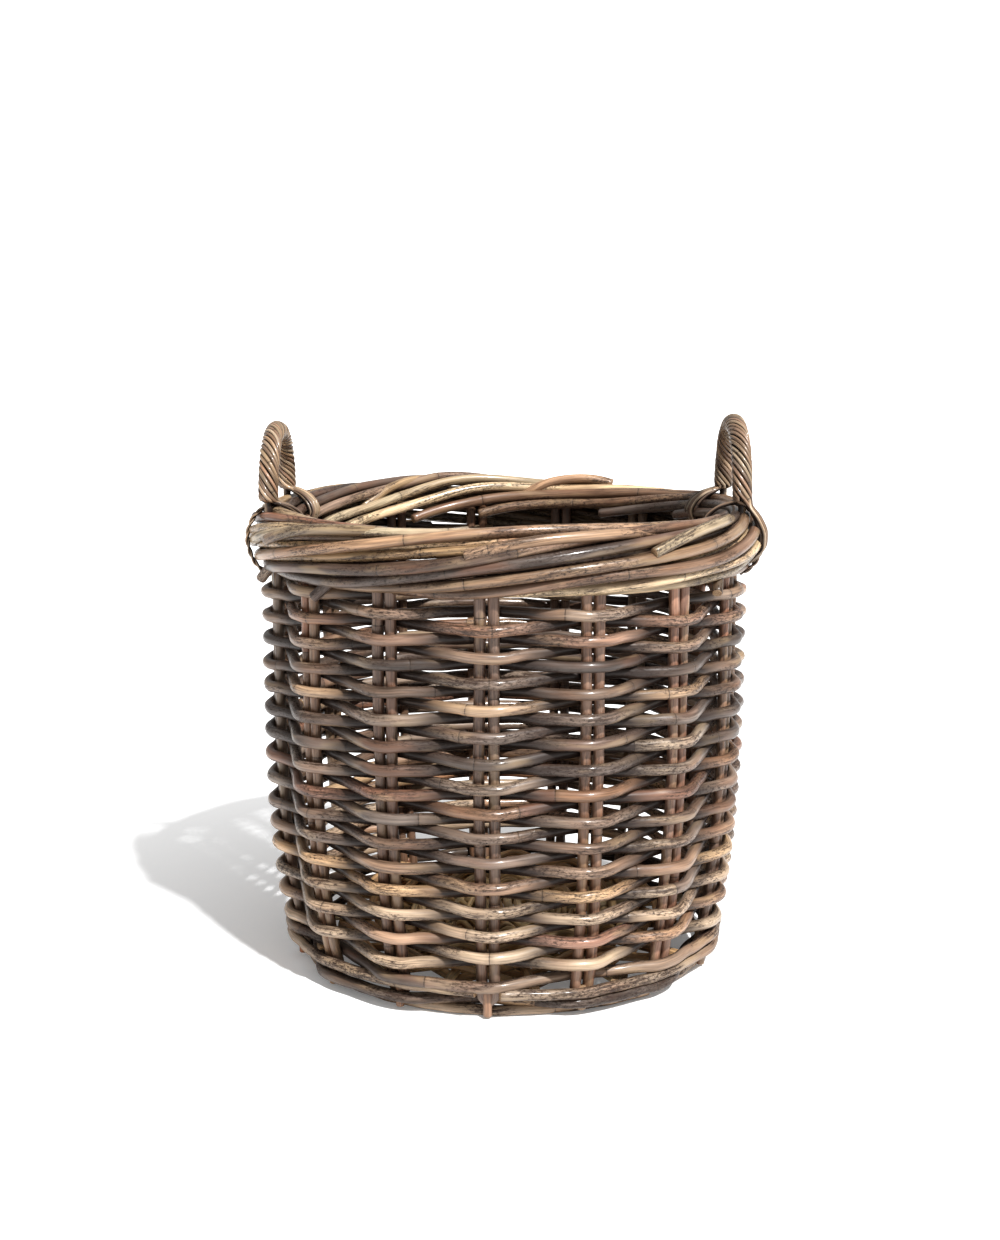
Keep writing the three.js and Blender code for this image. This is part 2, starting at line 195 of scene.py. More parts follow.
class Skin:
    """The node group that every cane shares: growth streaks, bark flecks, node rings, cut ends and painted
    shade where canes lie against each other."""

    NAME = "cane_skin"
    INPUTS = {
        "Flecks": 0.5,
        "Streaks": 0.5,
        "Silvering": 0.3,
        # Strength of the painted shade in the hollows
        "Painted Shade": 0.5,
        "Base Roughness": 0.42,
        "Brightness": 1.0,
    }
    RUST = (0.235, 0.115, 0.068)
    STRAW = (0.44, 0.315, 0.185)
    SILVER = (0.225, 0.190, 0.162)
    FLECK = (0.024, 0.011, 0.006)
    BARK = (0.042, 0.021, 0.012)
    NODE_BAND = (0.105, 0.066, 0.040)
    NODE_LINE = (0.022, 0.014, 0.010)
    # Colour of the painted shade in the hollows
    SHADE_COLOR = (0.018, 0.008, 0.0045)
    PITH = (0.40, 0.27, 0.16)
    PORE = (0.22, 0.135, 0.075)

    def __init__(self) -> None:
        """Builds the group once."""
        self.tree = bpy.data.node_groups.new(self.NAME, "ShaderNodeTree")
        for name, value in self.INPUTS.items():
            socket = self.tree.interface.new_socket(name, in_out="INPUT", socket_type="NodeSocketFloat")
            socket.default_value = value
        self.tree.interface.new_socket("Color", in_out="OUTPUT", socket_type="NodeSocketColor")
        self.tree.interface.new_socket("Roughness", in_out="OUTPUT", socket_type="NodeSocketFloat")
        self.tree.interface.new_socket("Height", in_out="OUTPUT", socket_type="NodeSocketFloat")
        self.given = self.tree.nodes.new("NodeGroupInput")
        self.made = self.tree.nodes.new("NodeGroupOutput")
        self._lay_out()

    def _read(self, name: str, output: str = "Fac") -> bpy.types.NodeSocket:
        """The value of a piece's own attribute."""
        return add_node(self.tree, "ShaderNodeAttribute", attribute_name=name).outputs[output]

    def _math(self, operation: str, *values: object, clamp: bool = False) -> bpy.types.NodeSocket:
        """A Math node of sockets or numbers."""
        node = add_node(self.tree, "ShaderNodeMath", operation=operation, use_clamp=clamp)
        for socket, value in zip(node.inputs, values):
            if isinstance(value, (int, float)):
                socket.default_value = value
            else:
                self.tree.links.new(value, socket)
        return node.outputs[0]

    def _noise(self, scale: tuple[float, float, float], detail: float, rough: float) -> bpy.types.NodeSocket:
        """Noise on the cane laid straight, stretched by a scale per direction, from 0 to 1."""
        mapping = add_node(self.tree, "ShaderNodeMapping")
        mapping.inputs["Scale"].default_value = scale
        self.tree.links.new(self._read("straight", "Vector"), mapping.inputs["Vector"])
        noise = add_node(self.tree, "ShaderNodeTexNoise")
        noise.inputs["Scale"].default_value = 1.0
        noise.inputs["Detail"].default_value = detail
        noise.inputs["Roughness"].default_value = rough
        self.tree.links.new(mapping.outputs["Vector"], noise.inputs["Vector"])
        return noise.outputs["Fac"]

    def _step(self, value: bpy.types.NodeSocket, low: float, high: float) -> bpy.types.NodeSocket:
        """Smooth step from 0 at low to 1 at high."""
        node = add_node(self.tree, "ShaderNodeMapRange", interpolation_type="SMOOTHSTEP")
        self.tree.links.new(value, node.inputs["Value"])
        node.inputs["From Min"].default_value = low
        node.inputs["From Max"].default_value = high
        return node.outputs["Result"]

    def _mix(self, share: object, first: object, second: object, blend: str = "MIX") -> bpy.types.NodeSocket:
        """A colour mix of sockets or colours."""
        node = add_node(self.tree, "ShaderNodeMix", data_type="RGBA", blend_type=blend)
        for socket, value in zip((node.inputs[0], node.inputs[6], node.inputs[7]), (share, first, second)):
            if isinstance(value, (int, float)):
                socket.default_value = value
            elif isinstance(value, tuple):
                socket.default_value = (*value, 1.0)
            else:
                self.tree.links.new(value, socket)
        return node.outputs[2]

    def _grey(self, value: bpy.types.NodeSocket) -> bpy.types.NodeSocket:
        """A value as a grey colour."""
        node = add_node(self.tree, "ShaderNodeCombineColor")
        for socket in node.inputs:
            self.tree.links.new(value, socket)
        return node.outputs[0]

    def _lay_out(self) -> None:
        """Colour, roughness and height from the cane's own coordinates."""
        given = self.given.outputs
        tone = self._read("tone", "Color")
        ring = self._math("ABSOLUTE", self._read("to_node"))
        cut = self._step(self._read("cut"), 0.45, 0.75)
        painted_shade = self._read("painted_shade")

        streak = self._noise((22, 620, 620), 4, 0.62)
        blotch = self._noise((14, 60, 60), 3, 0.6)
        fleck = self._noise((230, 560, 560), 6, 0.78)
        patch = self._noise((9, 45, 45), 3, 0.55)
        scratch = self._noise((60, 1500, 1500), 3, 0.6)

        # Streaks and blotches lighten and darken the tone
        swing = self._math("MULTIPLY", self._math("SUBTRACT", streak, 0.5), given["Streaks"])
        level = self._math("MULTIPLY_ADD", swing, 5.0, 1.0)
        level = self._math("ADD", level, self._math("MULTIPLY", self._math("SUBTRACT", blotch, 0.5), 1.6))
        level = self._math("MULTIPLY", level, given["Brightness"])
        color = self._mix(1.0, tone, self._grey(level), "MULTIPLY")

        # Patches of rust and straw
        rust = self._math("MULTIPLY", self._step(self._noise((11, 40, 40), 2, 0.5), 0.50, 0.66), 0.4)
        color = self._mix(rust, color, self.RUST)
        straw = self._math("MULTIPLY", self._step(self._noise((17, 70, 70), 2, 0.5), 0.52, 0.68), 0.4)
        color = self._mix(straw, color, self.STRAW)

        # Weathering turns patches to silver grey
        silver = self._math("MULTIPLY", self._step(blotch, 0.42, 0.66), given["Silvering"])
        color = self._mix(silver, color, self.SILVER)

        # Bark flecks, gathered in patches
        where = self._math("MULTIPLY", self._step(patch, 0.41, 0.55), given["Flecks"])
        edge = self._math("MULTIPLY_ADD", where, -0.12, 0.60)
        specks = self._math("MULTIPLY", self._math("SUBTRACT", fleck, edge), 8.0, clamp=True)
        specks = self._math("MULTIPLY", specks, self._math("MULTIPLY", where, 1.2, clamp=True))
        color = self._mix(specks, color, self.FLECK)
        bark = self._step(self._noise((40, 400, 400), 6, 0.75), 0.45, 0.62)
        bark = self._math("MULTIPLY", bark, self._math("MULTIPLY", where, 0.9), clamp=True)
        color = self._mix(bark, color, self.BARK)

        # Node rings: a dark line in a browner band
        band = self._math("MULTIPLY", self._math("SUBTRACT", 1.0, self._step(ring, 0.0, 6.0)), 0.25)
        color = self._mix(band, color, self.NODE_BAND)
        ragged = self._math("MULTIPLY_ADD", self._math("SUBTRACT", streak, 0.5), 2.4, ring)
        line = self._math("SUBTRACT", 1.0, self._step(ragged, 0.2, 0.8))
        color = self._mix(self._math("MULTIPLY", line, 0.6), color, self.NODE_LINE)

        # Painted shade in the hollows where canes lie against each other and on their sides that face in
        shade_share = self._math("MULTIPLY", painted_shade, given["Painted Shade"])
        shade_share = self._math("MULTIPLY", shade_share, self._math("MULTIPLY_ADD", streak, 0.9, 0.55), clamp=True)
        color = self._mix(shade_share, color, self.SHADE_COLOR)

        # Cut ends show pale pith and pores
        pore = self._noise((900, 1300, 1300), 2, 0.5)
        pith = self._mix(self._step(pore, 0.42, 0.62), self.PITH, self.PORE)
        color = self._mix(cut, color, pith)
        self.tree.links.new(color, self.made.inputs["Color"])

        rough = self._math("MULTIPLY_ADD", specks, 0.3, given["Base Roughness"])
        rough = self._math("MULTIPLY_ADD", self._math("SUBTRACT", scratch, 0.5), 0.35, rough)
        rough = self._math("MULTIPLY_ADD", cut, 0.35, rough)
        rough = self._math("MULTIPLY_ADD", shade_share, 0.2, rough, clamp=True)
        self.tree.links.new(rough, self.made.inputs["Roughness"])

        height = self._math("MULTIPLY", streak, 0.7)
        height = self._math("MULTIPLY_ADD", scratch, 0.3, height)
        height = self._math("MULTIPLY_ADD", specks, 0.35, height)
        height = self._math("MULTIPLY_ADD", line, -1.2, height)
        self.tree.links.new(height, self.made.inputs["Height"])


@dataclass(frozen=True)
class CaneFinish:
    """How one kind of cane looks: the tones that its internodes take, how weathered it is and how strong its
    painted shade is.
    """

    name: str
    slot: Slot
    tones: tuple[tuple[int, int, int], ...]
    shares: tuple[float, ...]
    flecks: float = 0.5
    streaks: float = 0.5
    silvering: float = 0.3
    # Strength of the painted shade in the hollows
    painted_shade: float = 0.5
    roughness: float = 0.42
    brightness: float = 1.0
    coat: float = 0.4
    steady: float = 0.88
    spread: float = 0.13

    def pick(self, count: int, rng: np.random.Generator) -> Array:
        """Tones for the internodes of one cane: mostly its leading tone, with others among them.

        Args:
            count: number of internodes.
            rng: source of the choice.

        Returns:
            Linear colours, one row for each.
        """
        shares = np.array(self.shares) / sum(self.shares)
        lead = rng.choice(len(shares), p=shares)
        chosen = np.where(rng.random(count) < self.steady, lead, rng.choice(len(shares), count, p=shares))
        table = np.array([linear(tone) for tone in self.tones])
        bright = rng.normal(1.0, self.spread) * rng.normal(1.0, 0.07, (count, 1))
        warm = (rng.normal(0.0, 0.05) + rng.normal(0.0, 0.02, (count, 1))) * np.array([1.0, 0.0, -1.0])
        return table[chosen] * bright.clip(0.6, 1.4) * (1 + warm)

    def material(self, skin: Skin) -> bpy.types.Material:
        """The finish as a material.

        Args:
            skin: the shared node group.

        Returns:
            The material.
        """
        made = bpy.data.materials.new(self.name)
        made.use_nodes = True
        tree = made.node_tree
        shader = tree.nodes["Principled BSDF"]
        shader.inputs["IOR"].default_value = 1.48
        shader.inputs["Coat Weight"].default_value = self.coat
        shader.inputs["Coat Roughness"].default_value = 0.16
        group = add_node(tree, "ShaderNodeGroup", node_tree=skin.tree)
        for socket, value in {
            "Flecks": self.flecks,
            "Streaks": self.streaks,
            "Silvering": self.silvering,
            # Strength of the painted shade in the hollows
            "Painted Shade": self.painted_shade,
            "Base Roughness": self.roughness,
            "Brightness": self.brightness,
        }.items():
            group.inputs[socket].default_value = value
        bump = add_node(tree, "ShaderNodeBump")
        bump.inputs["Strength"].default_value = 0.55
        bump.inputs["Distance"].default_value = 0.0006
        tree.links.new(group.outputs["Color"], shader.inputs["Base Color"])
        tree.links.new(group.outputs["Roughness"], shader.inputs["Roughness"])
        tree.links.new(group.outputs["Height"], bump.inputs["Height"])
        tree.links.new(bump.outputs["Normal"], shader.inputs["Normal"])
        return made


GREY_WEAVER = CaneFinish(
    "grey_weathered_cane",
    Slot.GREY,
    ((146, 126, 109), (124, 106, 93), (84, 71, 63), (166, 143, 119), (138, 109, 91)),
    (0.30, 0.24, 0.18, 0.14, 0.14),
    flecks=1.0,
    silvering=0.35,
    painted_shade=1.0,
    brightness=1.12,
    spread=0.19,
)
BROWN_WEAVER = CaneFinish(
    "brown_cane",
    Slot.BROWN,
    ((158, 125, 100), (168, 120, 96), (184, 157, 125), (112, 88, 75), (148, 111, 92)),
    (0.28, 0.2, 0.2, 0.18, 0.14),
    flecks=0.9,
    silvering=0.15,
    painted_shade=1.0,
    brightness=1.12,
    spread=0.19,
)
STAKE = CaneFinish(
    "stake_cane",
    Slot.STAKE,
    ((148, 115, 91), (166, 118, 92), (122, 96, 80), (160, 132, 105)),
    (0.35, 0.25, 0.2, 0.2),
    flecks=0.5,
    painted_shade=0.4,
    brightness=1.2,
)
BORDER = CaneFinish(
    "border_cane",
    Slot.BORDER,
    ((196, 168, 132), (178, 144, 114), (150, 124, 105), (92, 77, 68), (206, 180, 145), (164, 122, 100)),
    (0.26, 0.16, 0.16, 0.2, 0.14, 0.08),
    flecks=0.9,
    silvering=0.2,
    painted_shade=1.25,
    brightness=0.92,
    spread=0.2,
    steady=0.95,
    roughness=0.38,
)
BASE = CaneFinish(
    "pale_base_cane",
    Slot.BASE,
    ((214, 189, 148), (198, 168, 125), (184, 149, 109)),
    (0.5, 0.3, 0.2),
    flecks=0.2,
    silvering=0.05,
    painted_shade=0.25,
    roughness=0.5,
    coat=0.1,
    brightness=1.2,
)
FOOT = CaneFinish(
    "foot_cane",
    Slot.FOOT,
    ((134, 114, 97), (88, 75, 66), (166, 142, 118), (72, 61, 55)),
    (0.28, 0.3, 0.14, 0.28),
    flecks=1.2,
    silvering=0.35,
    painted_shade=0.8,
    roughness=0.5,
    coat=0.2,
    brightness=0.88,
)
HANDLE = CaneFinish(
    "handle_strand_cane",
    Slot.HANDLE,
    ((172, 147, 119), (190, 165, 137), (144, 118, 96), (156, 124, 100)),
    (0.35, 0.25, 0.25, 0.15),
    flecks=0.4,
    streaks=0.6,
    silvering=0.2,
    painted_shade=1.6,
    roughness=0.4,
    brightness=0.84,
)


# ---------------------------------------------------------------------------- canes


@dataclass
class Cane:
    """One length of cane, worked out as a grid of rings along its path and corners round it.

    The out field holds the direction of the side left without painted shade at each point of the path,
    node_gap the usual length between node rings, hollow_from the degrees from that side where the painted
    shade begins, and exposed how open that side is, from -1 to 1.
    """

    path: Array
    out: Array
    diameter: float
    finish: CaneFinish
    sides: int = 12
    step: float = 5.0
    node_gap: float = 190.0
    hollow_from: float = 20.0
    exposed: Array | None = None
    end_clearance: float = 8.0
    bevel: float = 0.09
    end_taper: float = 0.82
    node_swell: float = 0.06
    node_groove: float = 0.05
    # Share of the way round the cane at which the painted shade is full
    full_shade: float = 0.75

    def grid(self, rng: np.random.Generator) -> dict[str, Array]:
        """Surface of the cane: centre(s) + r(s) * w(t) * (cos t * out + sin t * across), where r
        swells at the node rings and w is a slightly oval, knobbly outline.

        Args:
            rng: source of the node rings, tones and outline.

        Returns:
            Arrays over (ring, corner): point, straight, tone, to_node, cut and the painted shade; and the
                distance along the cane of each ring.
        """
        along = run_along(self.path)
        length = along[-1]
        spacings = rng.normal(1.0, 0.2, int(length / self.node_gap) + 3).clip(0.5, 1.5) * self.node_gap
        nodes = np.cumsum(spacings) - rng.uniform(0.1, 1.0) * self.node_gap
        nodes = nodes[(nodes > self.end_clearance) & (nodes < length - self.end_clearance)]

        bevel = self.bevel * self.diameter
        even = np.linspace(0, length, max(int(length / self.step), 6) + 1)
        near = (nodes[:, None] + np.array([-2.2, -0.5, 0.5, 2.2])).ravel()
        clash = np.abs(even[:, None] - np.r_[near, -99.0]).min(axis=1) < 1.2
        at = np.sort(np.r_[even[~clash | (even == 0) | (even == length)], near, bevel, length - bevel])

        centre = np.column_stack([np.interp(at, along, column) for column in self.path.T])
        out = np.column_stack([np.interp(at, along, column) for column in self.out.T])
        ahead = np.column_stack([np.interp(at + 1.5, along, column) for column in self.path.T])
        behind = np.column_stack([np.interp(at - 1.5, along, column) for column in self.path.T])
        tangent = unit(ahead - behind)
        normal = unit(out - (out * tangent).sum(axis=1, keepdims=True) * tangent)
        across = np.cross(tangent, normal)

        gap = at[:, None] - np.r_[nodes, -1e4]
        nearest = np.abs(gap).argmin(axis=1)
        to_node = gap[np.arange(len(at)), nearest]
        radius = self.diameter / 2 * (1 + 0.035 * drift(at, (310.0, 170.0, 67.0), rng))
        swell = self.node_swell * np.exp(-((to_node / 4.0) ** 2))
        radius *= 1 + swell - self.node_groove * (np.abs(to_node) < 0.8)
        radius[[0, -1]] *= self.end_taper

        turn = np.linspace(0, 2 * np.pi, self.sides, endpoint=False)[None, :]
        lean = rng.uniform(0, 2 * np.pi, 2)
        twist = drift(at, (420.0, 230.0), rng)[:, None]
        oval = 0.03 * np.cos(2 * turn + lean[0] + twist)
        outline = 1 + oval + 0.018 * np.cos(3 * turn + lean[1] - 2 * twist)
        x, y = radius[:, None] * outline * np.cos(turn), radius[:, None] * outline * np.sin(turn)
        point = centre[:, None] + x[..., None] * normal[:, None] + y[..., None] * across[:, None]

        tones = self.finish.pick(len(nodes) + 1, rng)
        place = np.searchsorted(nodes, at)
        tone = np.repeat(tones[place][:, None], self.sides, axis=1)
        offset = rng.uniform(0, 40)
        straight = np.stack(np.broadcast_arrays(at[:, None] * MM + offset, x * MM, y * MM), axis=-1)
        cut = np.zeros(point.shape[:2])
        cut[[0, -1]] = 1.0
        # Painted shade: it falls on the side away from out, moves to the out side where exposed is below
        # zero, and is weaker on the side away from out when exposed is set
        open_side = 1.0 if self.exposed is None else np.interp(at, along, self.exposed)[:, None]
        hidden = (1 - open_side * np.cos(turn)) / 2
        floor = (1 - np.cos(np.radians(self.hollow_from))) / 2
        inner = 1.0 if self.exposed is None else 0.7 + 0.3 * np.cos(turn)
        share = (hidden - floor) / (self.full_shade - floor)
        painted_shade = np.broadcast_to(share.clip(0, 1) * inner, cut.shape)
        return {
            "point": point,
            "straight": straight,
            "tone": tone,
            "to_node": np.broadcast_to(to_node[:, None], cut.shape),
            "cut": cut,
            "painted_shade": painted_shade,
            "at": at,
            "ends": centre[[0, -1]],
        }


@dataclass
class Piece:
    """One named piece of the basket: canes of one finish that stand for one CAD node."""

    name: str
    node: str
    finish: CaneFinish
    canes: list[Cane] = field(default_factory=list)
    strip_pitch: float = 1.12
    cap_room: float = 1.2

    def build(self, rng: np.random.Generator, materials: dict[str, bpy.types.Material]) -> bpy.types.Object:
        """Makes the mesh, its attributes and its unwrapped strips, and ties it to the frame.

        Args:
            rng: source of the canes' variation.
            materials: the finished materials by name.

        Returns:
            The piece.
        """
        grids = [cane.grid(rng) for cane in self.canes]
        size = sum(length * girth for length, girth in map(self._extent, grids)) ** 0.5
        layouts, height = [], 0.0
        for made in grids:
            length, girth = self._extent(made)
            strips = max(int(np.ceil(length / size)), 1)
            layouts.append((height, strips, girth))
            height += strips * girth * self.strip_pitch
        cap_row = max(girth for _, girth in map(self._extent, grids)) / 2.6
        sheet = height + self.cap_room * cap_row

        points, loops, starts, smooth, uvs = [], [], [], [], []
        columns: dict[str, list[Array]] = {key: [] for key in ("straight", "tone", "to_node", "cut", "painted_shade")}
        base = loop = 0
        for index, (made, (bottom, strips, girth)) in enumerate(zip(grids, layouts)):
            rings, sides = made["cut"].shape
            cell = np.arange(rings * sides).reshape(rings, sides) + base
            nxt = np.roll(cell, -1, axis=1)
            quads = np.stack([cell[:-1], nxt[:-1], nxt[1:], cell[1:]], axis=-1).reshape(-1, 4)
            first, last = base + rings * sides, base + rings * sides + 1
            start_cap = np.column_stack([np.full(sides, first), nxt[0], cell[0]])
            end_cap = np.column_stack([np.full(sides, last), cell[-1], nxt[-1]])
            caps = np.vstack([start_cap, end_cap])
            loops += [quads.ravel(), caps.ravel()]
            starts += [loop + 4 * np.arange(len(quads)), loop + 4 * len(quads) + 3 * np.arange(len(caps))]
            smooth += [np.ones(len(quads), bool), np.zeros(len(caps), bool)]
            loop += 4 * len(quads) + 3 * len(caps)
            points += [made["point"].reshape(-1, 3), made["ends"]]
            for key, rows in columns.items():
                flat = made[key].reshape(rings * sides, -1)
                centre = flat[[0, -1]].copy()
                if key == "straight":
                    centre[:, 1:] = 0
                rows += [flat, centre]
            uvs.append(self._strip_uv(made["at"], sides, bottom, strips, girth, size, sheet))
            uvs.append(self._cap_uv(sides, index, len(grids), cap_row, size, height, sheet))
            base += rings * sides + 2
        return self._to_object(points, loops, starts, smooth, uvs, columns, materials)

    @staticmethod
    def _extent(made: dict[str, Array]) -> tuple[float, float]:
        """Length and girth of a cane's grid."""
        ring = made["point"][len(made["at"]) // 2]
        girth = np.linalg.norm(ring - np.roll(ring, 1, axis=0), axis=1).sum()
        return float(made["at"][-1]), float(girth)

    def _strip_uv(
        self, at: Array, sides: int, bottom: float, strips: int, girth: float, size: float, height: float
    ) -> Array:
        """The cane's side, chopped into strips of equal length that lie one above another.

        Args:
            at: distance along the cane of each ring.
            sides: corners in a ring.
            bottom: where the first strip starts.
            strips: number of strips.
            girth: height of a strip.
            size: length of the sheet that the strips lie on.
            height: height of that sheet.

        Returns:
            Flat array of corner coordinates from 0 to 1, in the order of the quads.
        """
        middle = (at[:-1] + at[1:]) / 2
        strip = np.minimum((middle / at[-1] * strips).astype(int), strips - 1)
        origin = at[np.searchsorted(strip, strip)]
        widest = max((at[1:] - origin).max(), size)
        left, right = (at[:-1] - origin) / widest, (at[1:] - origin) / widest
        row = (bottom + strip * girth * self.strip_pitch)[:, None]
        low = row + girth * (np.arange(sides) / sides)[None, :]
        high = low + girth / sides
        left, right = (np.broadcast_to(edge[:, None], low.shape) for edge in (left, right))
        corners = np.stack(
            [
                np.stack([left, low / height], axis=-1),
                np.stack([left, high / height], axis=-1),
                np.stack([right, high / height], axis=-1),
                np.stack([right, low / height], axis=-1),
            ],
            axis=2,
        )
        return corners.ravel()

    @staticmethod
    def _cap_uv(
        sides: int, index: int, count: int, row: float, size: float, bottom: float, height: float
    ) -> Array:
        """The two cut ends as small discs in a row above the strips.

        Args:
            sides: corners in a ring.
            index: the cane's place in its piece.
            count: canes in the piece.
            row: height of the row.
            size: length of the sheet.
            bottom: where the row starts.
            height: height of the sheet.

        Returns:
            Flat array of corner coordinates, in the order of the two fans.
        """
        turn = 2 * np.pi * np.arange(sides + 1) / sides
        pitch = min(size / (2 * count), row)
        fans = []
        for end in (0, 1):
            middle = np.array([(2 * index + end + 0.5) * pitch / size, (bottom + row * 0.6) / height])
            reach = 0.42 * pitch * np.array([1 / size, 1 / height])
            rim = middle + reach * np.stack([np.cos(turn), np.sin(turn)], axis=-1)
            pair = (rim[1:], rim[:-1]) if end == 0 else (rim[:-1], rim[1:])
            fans.append(np.stack([np.broadcast_to(middle, rim[1:].shape), *pair], axis=1))
        return np.concatenate(fans).ravel()

    def _to_object(
        self,
        points: list[Array],
        loops: list[Array],
        starts: list[Array],
        smooth: list[Array],
        uvs: list[Array],
        columns: dict[str, list[Array]],
        materials: dict[str, bpy.types.Material],
    ) -> bpy.types.Object:
        """Puts whole arrays into a mesh and hands the piece to the frame.

        Args:
            points: vertex places in millimetres.
            loops: vertex numbers of the face corners.
            starts: first corner of each face.
            smooth: whether each face is shaded smooth.
            uvs: coordinates of the corners.
            columns: the point attributes.
            materials: the finished materials by name.

        Returns:
            The object.
        """
        place, corner, start = np.concatenate(points) * MM, np.concatenate(loops), np.concatenate(starts)
        mesh = bpy.data.meshes.new(self.name)
        mesh.vertices.add(len(place))
        mesh.vertices.foreach_set("co", place.ravel())
        mesh.loops.add(len(corner))
        mesh.loops.foreach_set("vertex_index", corner.astype(np.int32))
        mesh.polygons.add(len(start))
        mesh.polygons.foreach_set("loop_start", start.astype(np.int32))
        mesh.polygons.foreach_set("use_smooth", np.concatenate(smooth))
        mesh.update(calc_edges=True)
        mesh.uv_layers.new(name="OFBake").uv.foreach_set("vector", np.concatenate(uvs).astype(np.float32))
        for key, rows in columns.items():
            values = np.concatenate(rows)
            if key == "tone":
                values = np.column_stack([values, np.ones(len(values))])
                made, entry = mesh.attributes.new(key, "FLOAT_COLOR", "POINT"), "color"
            elif key == "straight":
                made, entry = mesh.attributes.new(key, "FLOAT_VECTOR", "POINT"), "vector"
            else:
                made, entry = mesh.attributes.new(key, "FLOAT", "POINT"), "value"
            made.data.foreach_set(entry, values.astype(np.float32).ravel())
        mesh.materials.append(materials[self.finish.name])
        piece = bpy.data.objects.new(self.name, mesh)
        bpy.context.scene.collection.objects.link(piece)
        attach(piece, "root")
        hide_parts(self.node)
        log.info("%s: %d faces", self.name, len(start))
        return piece


# ---------------------------------------------------------------------------- the basket's plan


@dataclass
class Plan:
    """The sizes that all the sub-assemblies share, read from the frame."""

    stake_count: int = 15
    cane: float = 10.2
    stake_cane: float = 10.4
    pair_gap: float = 2.6
    barrel_power: float = 3.0
    barrel_share: float = 0.867
    stake_easing: float = 0.3
    weave_easing: float = 0.5
    flat: float = 3.0
    end_gap: float = 2.5

    def __post_init__(self) -> None:
        """Reads the CAD boxes."""
        stake_low, stake_high = span("stake_01")
        middle = (stake_low + stake_high) / 2
        self.first_angle = float(np.degrees(np.arctan2(middle[0], -middle[1])))
        self.step = 360 / self.stake_count
        self.stake_bottom, self.stake_top = stake_low[2], stake_high[2]
        self.body_radius = -stake_low[1] - self.stake_cane / 2 + self.stake_easing
        _, hoop_high = span("foot_hoop")
        self.hoop_height = hoop_high[2]
        self.foot_radius = hoop_high[0] - self.hoop_height / 2
        weave_low, weave_high = span(*numbered("weaver", 10))
        self.weave_bottom, self.weave_top = weave_low[2], weave_high[2]
        border_low, border_high = span(*numbered("border_cane", self.stake_count))
        self.border_low, self.border_high = border_low[2], border_high[2]
        self.border_radius = float(max(border_high[0], border_high[1], -border_low[0], -border_low[1]))
        self.pair_offset = (self.stake_cane + self.pair_gap) / 2
        self.weave_offset = (self.stake_cane + self.cane) / 2 + self.weave_easing
        self.barrel_height = self.barrel_share * (self.weave_top - self.weave_bottom - self.cane)

    def stake_angle(self, index: Array | float) -> Array | float:
        """Angle of a stake, counted from the first, which stands nearest the front."""
        return self.first_angle + self.step * index

    def wall(self, height: Array | float) -> Array:
        """Radius of the stakes: it curves in towards the foot as a power of the way down."""
        below = np.maximum(0, 1 - np.asarray(height, float) / self.barrel_height)
        return self.body_radius - (self.body_radius - self.foot_radius) * below**self.barrel_power

    def unevenness(self, angle: Array, height: Array) -> Array:
        """Hand-made waver of the rows, shared by neighbours: sines of the angle and the height."""
        turn = np.radians(angle)
        return (
            1.3 * np.sin(2 * turn + 0.021 * height + 0.6)
            + 0.9 * np.sin(3 * turn - 0.034 * height + 2.1)
            + 0.7 * np.sin(7 * turn + 0.05 * height)
        )


    def passes(self, angle: Array, radius: Array, outside: Array) -> tuple[Array, Array]:
        """Two angles for each pass of a rod: outside a pair it lies flat across both canes.

        Args:
            angle: angles of the pairs that it passes.
            radius: its distance from the middle at each.
            outside: whether it passes outside each.

        Returns:
            The doubled angles, and which of them are kept: both outside, one inside.
        """
        half = np.degrees((self.pair_offset + self.flat) / radius) * outside
        angles = np.column_stack([angle - half, angle + half]).ravel()
        return angles, np.column_stack([np.ones_like(outside), outside]).ravel()

    def draw_in(self, points: Array) -> Array:
        """A rod's path with both ends drawn in a little, to leave a gap to the next rod."""
        ahead = unit(points[[1, -1]] - points[[0, -2]])
        points[[0, -1]] += self.end_gap * np.array([[1.0], [-1.0]]) * ahead
        return points


def outward(points: Array) -> Array:
    """Directions away from the basket's middle line."""
    flat = points.copy()
    flat[:, 2] = 0
    return unit(flat)


def wall_cane(points: Array, softness: float, diameter: float, finish: CaneFinish, **more: object) -> Cane:
    """A cane in the wall: its side without painted shade faces away from the middle.

    Args:
        points: the corners of its path.
        softness: how gently it bends.
        diameter: its thickness.
        finish: its looks.
        more: further fields of the cane.

    Returns:
        The cane.
    """
    path = ease(points, softness)
    along = run_along(path)
    crook = np.random.default_rng(int(abs(path[len(path) // 2]).sum() * 100))
    across = 0.55 * drift(along, (74.0, 47.0, 31.0), crook)
    path = path + across[:, None] * outward(path)
    path[:, 2] += 0.8 * drift(along, (91.0, 58.0, 37.0), crook)
    return Cane(path, outward(path), diameter, finish, **more)


# ---------------------------------------------------------------------------- sub-assemblies


